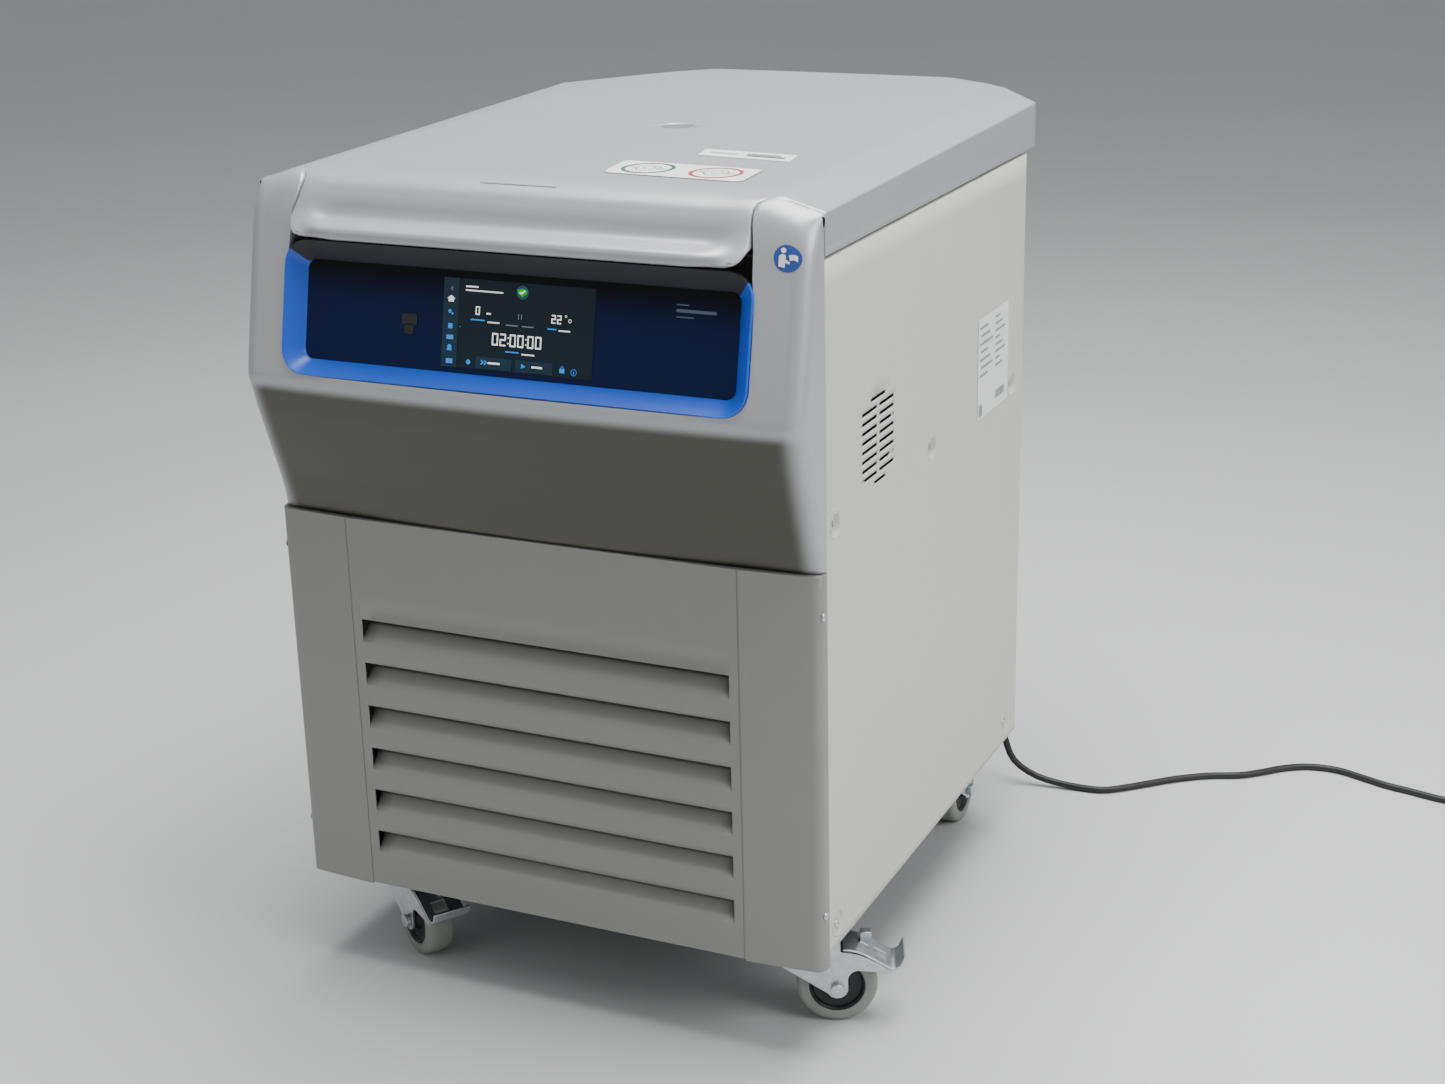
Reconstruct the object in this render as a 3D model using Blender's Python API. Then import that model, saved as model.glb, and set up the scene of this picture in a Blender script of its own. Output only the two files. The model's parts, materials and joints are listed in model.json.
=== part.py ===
"""Floor-standing refrigerated laboratory centrifuge on four casters.

Machine coordinates: x to the right of the mid-plane, y back from the face of the grille panel,
z up from the floor. The root empty moves all of it so that the origin lies on the floor under
the middle of the whole outline.
"""

import math

import bmesh
import bpy
from mathutils import Matrix, Vector

# Fits and sheets
FIT_GAP = 0.0003
SHEET = 0.0015
MOULDING = 0.003

# Cabinet
CABINET_WIDTH = 0.573
SIDE_FRONT = 0.0216
SIDE_BACK = 0.592
DECK_TOP = 0.7765
DECK_SHEET = 0.002
SIDE_FLANGE = 0.012
BASE_SHEET = 0.003
BASE_WALL = 0.002
BASE_RIM = 0.030

# Grille panel at the front
GRILLE_TOP = 0.4945
STRIP_WIDTH = 0.0786
CREASE_X = CABINET_WIDTH / 2 - STRIP_WIDTH
STRIP_ANGLE = math.radians(4)
CORNER_RADIUS = 0.018
LOUVRE_COUNT = 6
LOUVRE_TOP = 0.3908
LOUVRE_PITCH = 0.04585
LOUVRE_HEIGHT = 0.0248
LOUVRE_MARGIN = 0.0099
LOUVRE_HALF = CREASE_X - LOUVRE_MARGIN
LOUVRE_LEAN = math.radians(40)
LOUVRE_BEND = 0.010

# Side vents: two columns of slots
VENT_FRONT = 0.1085
VENT_SLOT = 0.0385
VENT_STEP = 0.0438
VENT_TOP = 0.6172
VENT_PITCH = 0.0090
VENT_ROWS = 8
VENT_HEIGHT = 0.0038

# Console
CONSOLE_TILT = math.radians(12)
CONSOLE_FOOT_Z = 0.647
CONSOLE_FOOT_Y = -0.042
CONSOLE_TOP = 0.829
ARM_WIDTH = 0.052
ARM_INNER = CABINET_WIDTH / 2 - ARM_WIDTH
BEZEL_LAP = 0.0028
BEZEL_HALF = ARM_INNER + BEZEL_LAP
BEZEL_HEIGHT = 0.126
BEZEL_DEPTH = 0.016
BEZEL_SIDE = 0.0161
GLASS_HALF = BEZEL_HALF - BEZEL_SIDE
GLASS_LOW = 0.0150
GLASS_HIGH = 0.1075
GLASS_SHEET = 0.003

# Lid
LID_OVERHANG = 0.153
LID_BACK = SIDE_BACK + LID_OVERHANG
LID_BACK_INSET = 0.0935
LID_BACK_HALF = CABINET_WIDTH / 2 - LID_BACK_INSET
LID_CHAMFER_INSET = 0.0638
LID_CHAMFER_HALF = CABINET_WIDTH / 2 - LID_CHAMFER_INSET
LID_CHAMFER_Y = LID_BACK - 0.030
LID_SIDE_END = LID_BACK - 0.125
LID_FRONT = 0.0237
SKIRT_BOTTOM = 0.7795
LID_EDGE_FRONT = 0.8169
LID_EDGE_BACK = 0.8266
LID_TOP = 0.8305
LID_SLOPE = 0.045
NOSE_GAP = 0.0035
NOSE_HALF = ARM_INNER - NOSE_GAP
NOSE_CORNER = 0.018
NOSE_BOTTOM = 0.7725
NOSE_FRONT = -0.0290
LINER_BOTTOM = 0.7851
LINER_SHEET = 0.0025
LINER_BACK = LID_BACK - 0.105
PORT_RADIUS = 0.016

# Lid hinge
HINGE_Y = LID_BACK - 0.030
HINGE_Z = 0.797
HINGE_SHAFT_RADIUS = 0.005
HINGE_BRACKET_X = 0.129
HINGE_LUG_X = 0.150
HINGE_PLATE = 0.003

# Latch
LATCH_RELEASE = math.radians(25)

# Rear hood, which carries the hinge brackets and lets the warm air out
HOOD_HALF = 0.185
HOOD_DEPTH = 0.108
HOOD_BACK = SIDE_BACK + HOOD_DEPTH
HOOD_BOTTOM = 0.160
HOOD_CHAMFER = 0.035

# Chamber, drive and rotor
AXIS_Y = 0.333
BOWL_RADIUS = 0.2135
BOWL_WALL = 0.002
BOWL_BOTTOM = 0.470
BOWL_FLANGE = 0.0165
SPINDLE_HOLE = 0.035
MOTOR_RADIUS = 0.078
MOTOR_TOP = 0.360
SPINDLE_RADIUS = 0.011
ROTOR_BOTTOM = 0.545
TRUNNION_Z = 0.598
TRUNNION_REACH = 0.112
TRUNNION_RADIUS = 0.004
BUCKET_RADIUS = 0.045
BUCKET_WALL = 0.0025
BUCKET_RIM = 0.018
BUCKET_DROP = 0.080
ARM_FACE = 0.060
ROTOR_ARM_LOW = 0.575
ROTOR_ARM_HIGH = 0.605

# Casters
WHEEL_RADIUS = 0.040
WHEEL_DRAWN = 0.040
TREAD = 0.030
RIM_RADIUS = 0.0275
TRAIL = 0.044
CASTER_HEIGHT = 2.0 * WHEEL_RADIUS + 0.0285
CASTER_PLATE = 0.003
FORK_INSIDE = 0.036
FORK_SHEET = 0.0025
FORK_TOP = CASTER_HEIGHT - 0.0105
AXLE_RADIUS = 0.004
PEDAL_PIVOT = (0.0520, 0.0830)
PEDAL_SHEET = 0.002
CASTER_X = 0.222
CASTER_FRONT_Y = 0.081
CASTER_REAR_Y = 0.515
CASTER_ANGLES = {"front_left": -33, "front_right": 23, "rear_left": 75, "rear_right": 90}

# Mains lead
CORD_RADIUS = 0.004
GLAND_X = 0.235
GLAND_Z = 0.155
GLAND_LENGTH = 0.036
SWITCH_Z = 0.230
COIL_MEAN_RADIUS = 0.044
COIL_WIDTH = 0.024
COIL_HEIGHT = 0.017
CORD_END = (0.8400, 0.8358)
COIL_LEAD_IN = 0.0048
COIL_CENTRE = (CORD_END[0] + 0.010, CORD_END[1] - COIL_MEAN_RADIUS - COIL_WIDTH / 2 - COIL_LEAD_IN)

# Root: the middle of the outline, seen from above
ROOT_X = -0.022843
ROOT_Y = -0.3515

HALF = CABINET_WIDTH / 2
BASE_BOTTOM = CASTER_HEIGHT + FIT_GAP
FLOOR_PAN = BASE_BOTTOM + BASE_SHEET + FIT_GAP
SIDE_BOTTOM = CASTER_HEIGHT + 0.0029
GRILLE_BOTTOM = CASTER_HEIGHT - 0.0071


# ---- scene, materials and small tools ----

def clear_scene():
    for obj in list(bpy.data.objects):
        bpy.data.objects.remove(obj, do_unlink=True)


def new_collection(name):
    group = bpy.data.collections.new(name)
    bpy.context.scene.collection.children.link(group)
    return group


clear_scene()
parts = new_collection("laboratory_centrifuge")
cutters = new_collection("cutters")
cutters.hide_render = True


def material(name, colour, roughness, metallic=0.0):
    made = bpy.data.materials.new(name)
    made.use_nodes = True
    shader = made.node_tree.nodes["Principled BSDF"]
    shader.inputs["Base Color"].default_value = (*colour, 1.0)
    shader.inputs["Roughness"].default_value = roughness
    shader.inputs["Metallic"].default_value = metallic
    return made


MATERIALS = {
    "grey_paint": material("grey_paint", (0.30, 0.30, 0.30), 0.45, 0.3),
    "cream_paint": material("cream_paint", (0.62, 0.62, 0.57), 0.45),
    "silver_plastic": material("silver_plastic", (0.42, 0.42, 0.43), 0.40),
    "blue_plastic": material("blue_plastic", (0.03, 0.12, 0.55), 0.35),
    "screen_glass": material("screen_glass", (0.01, 0.015, 0.06), 0.08),
    "zinc": material("zinc", (0.55, 0.57, 0.58), 0.35, 1.0),
    "tyre_rubber": material("tyre_rubber", (0.16, 0.17, 0.15), 0.75),
    "black_plastic": material("black_plastic", (0.015, 0.015, 0.017), 0.5),
    "steel": material("steel", (0.50, 0.50, 0.50), 0.30, 1.0),
    "aluminium": material("aluminium", (0.62, 0.62, 0.64), 0.35, 1.0),
    "dark_steel": material("dark_steel", (0.03, 0.03, 0.035), 0.45, 0.4),
    "seal_rubber": material("seal_rubber", (0.03, 0.03, 0.03), 0.8),
    "clear_acrylic": material("clear_acrylic", (0.75, 0.78, 0.80), 0.1),
    "cord_rubber": material("cord_rubber", (0.012, 0.012, 0.013), 0.6),
}


def empty(name, place, parent=None, turn=0.0):
    made = bpy.data.objects.new(name, None)
    made.location = place
    made.rotation_euler = (0.0, 0.0, turn)
    made.parent = parent
    parts.objects.link(made)
    return made


root = empty("machine", (ROOT_X, ROOT_Y, 0.0))


def add(name, mesh, finish, parent=root):
    """A named sub-part whose mesh is in its parent's coordinates."""
    made = bpy.data.objects.new(name, mesh)
    made.data.materials.append(MATERIALS[finish])
    made.parent = parent
    parts.objects.link(made)
    return made


def hang(obj, holder):
    """Parents a piece made in machine coordinates to an empty that stands on its joint's axis."""
    obj.parent = holder
    obj.matrix_parent_inverse = Matrix.Translation(-holder.location)


def combine(target, mesh, operation):
    """Cuts a mesh from the target, or joins it, with a live Boolean."""
    tool = bpy.data.objects.new(f"{target.name}_{operation.lower()}_{len(target.modifiers)}", mesh)
    tool.parent = target.parent
    tool.matrix_parent_inverse = target.matrix_parent_inverse
    tool.hide_render = True
    tool.display_type = "WIRE"
    cutters.objects.link(tool)
    boolean = target.modifiers.new(tool.name, "BOOLEAN")
    boolean.operation = operation
    boolean.solver = "EXACT"
    boolean.object = tool


def cut(target, *meshes):
    for mesh in meshes:
        combine(target, mesh, "DIFFERENCE")


def join(target, *meshes):
    for mesh in meshes:
        combine(target, mesh, "UNION")


def mesh_of(bm, name="shape"):
    mesh = bpy.data.meshes.new(name)
    bmesh.ops.recalc_face_normals(bm, faces=bm.faces)
    bm.to_mesh(mesh)
    bm.free()
    return mesh


def box(low, high):
    bm = bmesh.new()
    size = Vector(high) - Vector(low)
    middle = (Vector(high) + Vector(low)) / 2
    bmesh.ops.create_cube(bm, size=1.0, matrix=Matrix.Translation(middle) @ Matrix.Diagonal((*size, 1.0)))
    return mesh_of(bm)


def boxes(pairs):
    """Several blocks that stand clear of each other, as one cutter."""
    bm = bmesh.new()
    for low, high in pairs:
        size = Vector(high) - Vector(low)
        middle = (Vector(high) + Vector(low)) / 2
        place = Matrix.Translation(middle) @ Matrix.Diagonal((*size, 1.0))
        bmesh.ops.create_cube(bm, size=1.0, matrix=place)
    return mesh_of(bm)


PLAN = Matrix.Identity(4)
ALONG_X = Matrix(((0, 0, 1, 0), (1, 0, 0, 0), (0, 1, 0, 0), (0, 0, 0, 1)))
ALONG_Y = Matrix(((1, 0, 0, 0), (0, 0, -1, 0), (0, 1, 0, 0), (0, 0, 0, 1)))


def prism(outlines, low, high, plane):
    """Flat outline, with any holes, drawn out from low to high.

    PLAN takes (x, y) points and runs along z, ALONG_X takes (y, z) and runs along x,
    ALONG_Y takes (x, z) and runs along -y, so low and high are then negated y values.
    """
    curve = bpy.data.curves.new("outline", "CURVE")
    curve.dimensions = "2D"
    curve.fill_mode = "BOTH"
    curve.extrude = (high - low) / 2
    for outline in outlines:
        spline = curve.splines.new("POLY")
        spline.points.add(len(outline) - 1)
        for point, (u, v) in zip(spline.points, outline):
            point.co = (u, v, 0.0, 1.0)
        spline.use_cyclic_u = True
    guide = bpy.data.objects.new("outline", curve)
    bpy.context.scene.collection.objects.link(guide)
    bpy.context.view_layer.update()
    mesh = bpy.data.meshes.new_from_object(guide.evaluated_get(bpy.context.evaluated_depsgraph_get()))
    bpy.data.objects.remove(guide, do_unlink=True)
    bm = bmesh.new()
    bm.from_mesh(mesh)
    bmesh.ops.remove_doubles(bm, verts=bm.verts, dist=1e-6)
    bmesh.ops.transform(bm, matrix=plane @ Matrix.Translation((0, 0, (low + high) / 2)), verts=bm.verts)
    return mesh_of(bm)


def turned(profile, steps, place, closed=True):
    """Profile of (radius, height) points, down the outer side first, turned about the axis of place."""
    bm = bmesh.new()
    verts = [bm.verts.new((r, 0.0, h)) for r, h in profile]
    pairs = list(zip(verts, verts[1:]))
    if closed:
        pairs.append((verts[-1], verts[0]))
    for pair in pairs:
        bm.edges.new(pair)
    geometry = bm.verts[:] + bm.edges[:]
    bmesh.ops.spin(bm, geom=geometry, angle=math.tau, steps=steps, axis=(0, 0, 1), cent=(0, 0, 0))
    bmesh.ops.remove_doubles(bm, verts=bm.verts, dist=1e-6)
    bmesh.ops.transform(bm, matrix=place, verts=bm.verts)
    return mesh_of(bm)


def upright(x, y, z=0.0):
    return Matrix.Translation((x, y, z))


def lying_x(x, y, z):
    """Turning axis along +x through a point."""
    return Matrix.Translation((x, y, z)) @ Matrix.Rotation(math.pi / 2, 4, "Y")


def lying_y(x, y, z):
    """Turning axis along +y through a point."""
    return Matrix.Translation((x, y, z)) @ Matrix.Rotation(-math.pi / 2, 4, "X")


def rod(radius, low, high, steps, place):
    return turned([(0, high), (radius, high), (radius, low), (0, low)], steps, place, closed=False)


def arc(centre, radius, start, end, count):
    """Points on an arc; angles in degrees."""
    angles = [math.radians(start + (end - start) * i / (count - 1)) for i in range(count)]
    return [(centre[0] + radius * math.cos(a), centre[1] + radius * math.sin(a)) for a in angles]


def circle(centre, radius, count):
    return arc(centre, radius, 0, 360 - 360 / count, count)


def thicken(path, thickness):
    """Closed outline of a bent sheet: the path is one face and the other lies to its left."""
    away = []
    for i, point in enumerate(path):
        before = Vector(point) - Vector(path[i - 1]) if i else None
        after = Vector(path[i + 1]) - Vector(point) if i + 1 < len(path) else None
        turns = [t.normalized() for t in (before, after) if t is not None]
        normals = [Vector((-t.y, t.x)) for t in turns]
        middle = sum(normals, Vector((0, 0))).normalized()
        reach = thickness / max(middle.dot(normals[0]), 0.3)
        away.append(tuple(Vector(point) + middle * reach))
    return list(path) + away[::-1]


def mirrored(outline):
    return [(-u, v) for u, v in reversed(outline)]


def tilted(v, depth):
    """(y, z) of a point v up the console's sloping face and depth behind it."""
    y = CONSOLE_FOOT_Y + v * math.sin(CONSOLE_TILT) + depth * math.cos(CONSOLE_TILT)
    z = CONSOLE_FOOT_Z + v * math.cos(CONSOLE_TILT) - depth * math.sin(CONSOLE_TILT)
    return y, z


def loft(rings):
    """Closed body through rings of equal point count, with flat ends."""
    bm = bmesh.new()
    loops = [[bm.verts.new(p) for p in ring] for ring in rings]
    for lower, upper in zip(loops, loops[1:]):
        for i, vert in enumerate(lower):
            j = (i + 1) % len(lower)
            bm.faces.new((vert, lower[j], upper[j], upper[i]))
    bm.faces.new(loops[0])
    bm.faces.new(loops[-1])
    return mesh_of(bm)


# ---- casters ----

def over_wheel(points):
    """Points drawn for a wheel of WHEEL_DRAWN, moved out from its foot for the wheel in use."""
    ratio = WHEEL_RADIUS / WHEEL_DRAWN
    return [(TRAIL + (u - TRAIL) * ratio, v * ratio) for u, v in points]


def fork_outline():
    """Side of the fork: crown, leg down to the axle boss, and the horn under the brake pedal."""
    boss = arc((TRAIL, WHEEL_RADIUS), 0.011, 207, 375, 7)
    throat = arc((TRAIL + 0.0205, WHEEL_RADIUS + 0.0095), 0.0100, 180, 95, 5)
    horn = over_wheel([(0.0770, 0.0585), (0.0955, 0.0562), (0.0970, 0.0585)])
    back = over_wheel([(0.0770, 0.0706), (0.0700, 0.0746), (0.0634, 0.0774), (0.0560, 0.0792), (0.0470, 0.0800)])
    front = over_wheel([(-0.0270, 0.0880), (-0.0090, 0.0635)])
    return [(0.0470, FORK_TOP), (front[0][0], FORK_TOP)] + front + boss + throat + horn + back


def fork_outline_plain():
    """Side of a fork with no brake."""
    boss = arc((TRAIL, WHEEL_RADIUS), 0.011, 207, 375, 7)
    back = over_wheel([(0.0520, 0.0700), (0.0480, 0.0870)]) + [(0.0470, FORK_TOP)]
    front = over_wheel([(-0.0270, 0.0880), (-0.0090, 0.0635)])
    return [(front[0][0], FORK_TOP)] + front + boss + back


def make_caster(place, x, y, braked):
    swivel = empty(f"caster_{place}_swivel", (x, y, 0.0), root, math.radians(CASTER_ANGLES[place]))
    outer = FORK_INSIDE / 2 + FORK_SHEET
    pin = [
        (0.0, CASTER_HEIGHT - 0.001), (0.026, CASTER_HEIGHT - 0.001), (0.026, FORK_TOP + FIT_GAP),
        (0.006, FORK_TOP + FIT_GAP), (0.006, FORK_TOP - 0.003 - FIT_GAP), (0.010, FORK_TOP - 0.003 - FIT_GAP),
        (0.009, FORK_TOP - 0.007), (0.0, FORK_TOP - 0.007),
    ]
    low = (-0.040, -0.036, CASTER_HEIGHT - CASTER_PLATE)
    plate_holder = empty(f"caster_{place}_mount", (x, y, 0.0), root)
    plate = add(f"caster_{place}_plate", box(low, (0.040, 0.036, CASTER_HEIGHT)), "zinc", plate_holder)
    join(plate, turned(pin, 20, upright(0, 0), closed=False))

    outline = fork_outline() if braked else fork_outline_plain()
    fork = add(f"caster_{place}_fork", prism([outline], -outer, outer, ALONG_Y), "zinc", swivel)
    half = FORK_INSIDE / 2
    cut(fork, box((-0.050, -half, 0.0), (0.120, half, FORK_TOP - 0.003)))
    cut(fork, rod(0.006 + FIT_GAP, FORK_TOP - 0.010, FORK_TOP + 0.010, 20, upright(0, 0)))
    cut(fork, rod(AXLE_RADIUS + FIT_GAP, -0.030, 0.030, 12, lying_y(TRAIL, 0, WHEEL_RADIUS)))

    head = outer + FIT_GAP
    bolt = [
        (0.0, head + 0.005), (0.0075, head + 0.005), (0.0075, head), (AXLE_RADIUS, head),
        (AXLE_RADIUS, -head), (0.0070, -head), (0.0070, -head - 0.005), (0.0, -head - 0.005),
    ]
    axle_place = lying_y(TRAIL, 0, WHEEL_RADIUS)
    add(f"caster_{place}_axle", turned(bolt, 12, axle_place, closed=False), "zinc", swivel)

    wheel = empty(f"caster_{place}_wheel", (TRAIL, 0.0, WHEEL_RADIUS), swivel)
    # The bottom of the tyre is one flat of the polygon, so that it rests on the floor.
    flat = Matrix.Rotation(math.pi / 32, 4, "Z")
    turn = Matrix.Rotation(-math.pi / 2, 4, "X") @ flat
    tread = WHEEL_RADIUS / math.cos(math.pi / 32)
    edge = TREAD / 2
    tyre = [
        (tread, edge - 0.004), (tread, -edge + 0.004), (tread - 0.003, -edge), (RIM_RADIUS, -edge),
        (RIM_RADIUS, edge), (tread - 0.003, edge),
    ]
    add(f"caster_{place}_tyre", turned(tyre, 32, turn), "tyre_rubber", wheel)
    rim = RIM_RADIUS - FIT_GAP
    bore = AXLE_RADIUS + FIT_GAP
    hub = [
        (rim, 0.0125), (rim, -0.0125), (rim - 0.003, -0.0125), (rim - 0.005, -0.006), (0.012, -0.006),
        (0.010, -0.0165), (bore, -0.0165), (bore, 0.0165), (0.010, 0.0165), (0.012, 0.006),
        (rim - 0.005, 0.006), (rim - 0.003, 0.0125),
    ]
    add(f"caster_{place}_hub", turned(hub, 24, turn), "black_plastic", wheel)
    if braked:
        make_brake(place, swivel, outer)


def make_brake(place, swivel, outer):
    """Stamped pedal that lies on the fork's horn; it pivots at its front end."""
    hinge = over_wheel([PEDAL_PIVOT])[0]
    pivot = empty(f"caster_{place}_brake_pivot", (hinge[0], 0.0, hinge[1]), swivel)
    path = over_wheel([
        (0.0495, 0.0816), (0.0560, 0.0808), (0.0634, 0.0790), (0.0700, 0.0763), (0.0770, 0.0723),
        (0.0970, 0.0602), (0.1020, 0.0604), (0.1070, 0.0640), (0.1110, 0.0735),
    ])
    outline = thicken([(u - hinge[0], v - hinge[1]) for u, v in path], PEDAL_SHEET)
    pedal = add(f"caster_{place}_brake", prism([outline], -outer, outer, ALONG_Y), "zinc", pivot)
    join(pedal, box((0.0150, 0.001, -0.0080), (0.0260, 0.011, 0.0070)))
    cut(pedal, box((0.0280, -0.011, -0.030), (0.0400, 0.004, 0.010)))


# ---- cabinet ----

def make_base():
    half = HALF - SHEET - 2 * FIT_GAP
    low = SIDE_FRONT + SHEET + FIT_GAP
    high = SIDE_BACK - 2 * SHEET - 3 * FIT_GAP
    pan = add("base_frame", box((-half, low, BASE_BOTTOM), (half, high, BASE_BOTTOM + BASE_RIM)), "grey_paint")
    inner = half - BASE_WALL
    bottom = BASE_BOTTOM + BASE_SHEET
    cut(pan, box((-inner, low + BASE_WALL, bottom), (inner, high - BASE_WALL, bottom + 0.1)))


def grille_plan():
    """Front face of the panel seen from above, left to right: rounded corner, strip, flat centre."""
    centre_x = HALF - CORNER_RADIUS
    run = centre_x - CREASE_X
    centre_y = (CORNER_RADIUS + run * math.sin(STRIP_ANGLE)) / math.cos(STRIP_ANGLE)
    end_angle = math.degrees(math.asin((SIDE_FRONT - FIT_GAP - centre_y) / CORNER_RADIUS))
    bend = arc((centre_x, centre_y), CORNER_RADIUS, math.degrees(STRIP_ANGLE) - 90, end_angle, 6)
    right = [(CREASE_X, 0.0)] + bend
    return mirrored(right) + right


def louvre_path(sill):
    """(y, z) of a louvre flap: it leaves the panel at the sill and leans in behind the slot."""
    behind = 0.0002
    bend = [
        (behind + LOUVRE_BEND * (1 - math.cos(a)), sill + LOUVRE_BEND * math.sin(a))
        for a in (0.0, LOUVRE_LEAN / 2, LOUVRE_LEAN)
    ]
    straight = LOUVRE_HEIGHT - LOUVRE_BEND * LOUVRE_LEAN
    y, z = bend[-1]
    tip = (y + straight * math.sin(LOUVRE_LEAN), z + straight * math.cos(LOUVRE_LEAN))
    return [(behind, sill - 0.004)] + bend + [tip]


def make_grille():
    outline = thicken(grille_plan(), SHEET)
    panel = add("front_panel", prism([outline], GRILLE_BOTTOM, GRILLE_TOP, PLAN), "grey_paint")
    tops = [LOUVRE_TOP - i * LOUVRE_PITCH for i in range(LOUVRE_COUNT)]
    cut(panel, boxes([
        ((-LOUVRE_HALF, -0.02, top - LOUVRE_HEIGHT), (LOUVRE_HALF, 0.02, top)) for top in tops
    ]))
    flap_half = LOUVRE_HALF - 0.001
    for top in tops:
        path = louvre_path(top - LOUVRE_HEIGHT)
        flap = thicken(path[::-1], SHEET)
        join(panel, prism([flap], -flap_half, flap_half, ALONG_X))


def make_side(name, side):
    path = [
        (HALF - SIDE_FLANGE, SIDE_FRONT), (HALF, SIDE_FRONT), (HALF, SIDE_BACK), (HALF - SIDE_FLANGE, SIDE_BACK),
    ]
    outline = thicken(path, SHEET)
    if side < 0:
        outline = mirrored(outline)
    panel = add(name, prism([outline], SIDE_BOTTOM, DECK_TOP - FIT_GAP, PLAN), "cream_paint")
    slots = []
    near = side * (HALF - 0.01)
    far = side * (HALF + 0.01)
    xs = sorted((near, far))
    for column in range(2):
        start = VENT_FRONT + column * VENT_STEP
        for row in range(VENT_ROWS):
            z = VENT_TOP - row * VENT_PITCH
            slots.append(((xs[0], start, z - VENT_HEIGHT), (xs[1], start + VENT_SLOT, z)))
    middle = VENT_FRONT + VENT_STEP / 2
    for z in (VENT_TOP + VENT_PITCH, VENT_TOP - VENT_ROWS * VENT_PITCH):
        slots.append(((xs[0], middle, z - VENT_HEIGHT), (xs[1], middle + VENT_SLOT, z)))
    cut(panel, boxes(slots))


def make_rear():
    half = HALF - SHEET - FIT_GAP
    back = SIDE_BACK - SHEET - FIT_GAP
    low = (-half, back - SHEET, SIDE_BOTTOM)
    panel = add("rear_panel", box(low, (half, back, DECK_TOP - DECK_SHEET - FIT_GAP)), "grey_paint")
    window = HOOD_HALF - 0.020
    cut(panel, box((-window, back - 0.01, HOOD_BOTTOM + 0.020), (window, back + 0.01, DECK_TOP - 0.040)))
    low = (GLAND_X - 0.0093, back - 0.01, SWITCH_Z - 0.0150)
    cut(panel, box(low, (GLAND_X + 0.0093, back + 0.01, SWITCH_Z + 0.0150)))




def hood_outline(inset, front):
    half = HOOD_HALF - inset
    back = HOOD_BACK - inset
    chamfer = HOOD_CHAMFER - inset * 0.4
    right = [(half, front), (half, back - chamfer), (half - chamfer, back)]
    return right + [(-x, y) for x, y in reversed(right)]


def make_hood():
    front = SIDE_BACK + FIT_GAP
    outer = prism([hood_outline(0.0, front)], HOOD_BOTTOM, DECK_TOP, PLAN)
    hood = add("rear_hood", outer, "grey_paint")
    inner = prism([hood_outline(SHEET, front - 0.02)], HOOD_BOTTOM + SHEET, DECK_TOP - 0.002, PLAN)
    cut(hood, inner)
    slots = []
    for row in range(9):
        z = 0.300 + row * 0.045
        slots.append(((-0.110, HOOD_BACK - 0.02, z), (0.110, HOOD_BACK + 0.02, z + 0.008)))
    cut(hood, boxes(slots))


def make_deck():
    half = HALF - SHEET - FIT_GAP
    back = SIDE_BACK - SHEET - FIT_GAP
    outline = [(-half, SIDE_FRONT + 0.002), (half, SIDE_FRONT + 0.002), (half, back), (-half, back)]
    hole = circle((0, AXIS_Y), BOWL_RADIUS + BOWL_WALL + FIT_GAP, 48)
    slot = [(-0.011, 0.0410), (0.011, 0.0410), (0.011, 0.0540), (-0.011, 0.0540)]
    add("top_deck", prism([outline, hole, slot], DECK_TOP - DECK_SHEET, DECK_TOP, PLAN), "silver_plastic")


def make_chamber():
    outer = BOWL_RADIUS + BOWL_WALL
    flange = DECK_TOP + FIT_GAP
    bowl = [
        (outer + BOWL_FLANGE, flange + SHEET), (outer + BOWL_FLANGE, flange), (outer, flange),
        (outer, BOWL_BOTTOM + 0.025), (outer - 0.020, BOWL_BOTTOM + 0.003), (SPINDLE_HOLE, BOWL_BOTTOM),
        (SPINDLE_HOLE, BOWL_BOTTOM + BOWL_WALL), (BOWL_RADIUS - 0.019, BOWL_BOTTOM + 0.005),
        (BOWL_RADIUS, BOWL_BOTTOM + 0.026), (BOWL_RADIUS, flange + SHEET),
    ]
    add("chamber_bowl", turned(bowl, 48, upright(0, AXIS_Y)), "steel")
    low = flange + SHEET + FIT_GAP
    high = LINER_BOTTOM - FIT_GAP
    ring = [
        (outer + 0.013, high - 0.001), (outer + 0.013, low), (outer + 0.002, low), (outer + 0.004, high),
        (outer + 0.011, high),
    ]
    add("chamber_gasket", turned(ring, 48, upright(0, AXIS_Y)), "seal_rubber")


# ---- console ----

def console_profile(inset):
    """(y, z) outline of the housing from the bottom at the back, up the front and over the top."""
    face = [tilted(v, inset) for v in (0.0, 0.145)]
    lower = [(0.0 + inset, GRILLE_TOP + FIT_GAP + inset), (-0.0355 + inset, 0.612), (-0.0405 + inset, 0.632)]
    crown = arc((0.0215, CONSOLE_TOP - 0.0285), 0.0285 - inset, 165, 90, 5)
    return lower + face + crown


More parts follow.
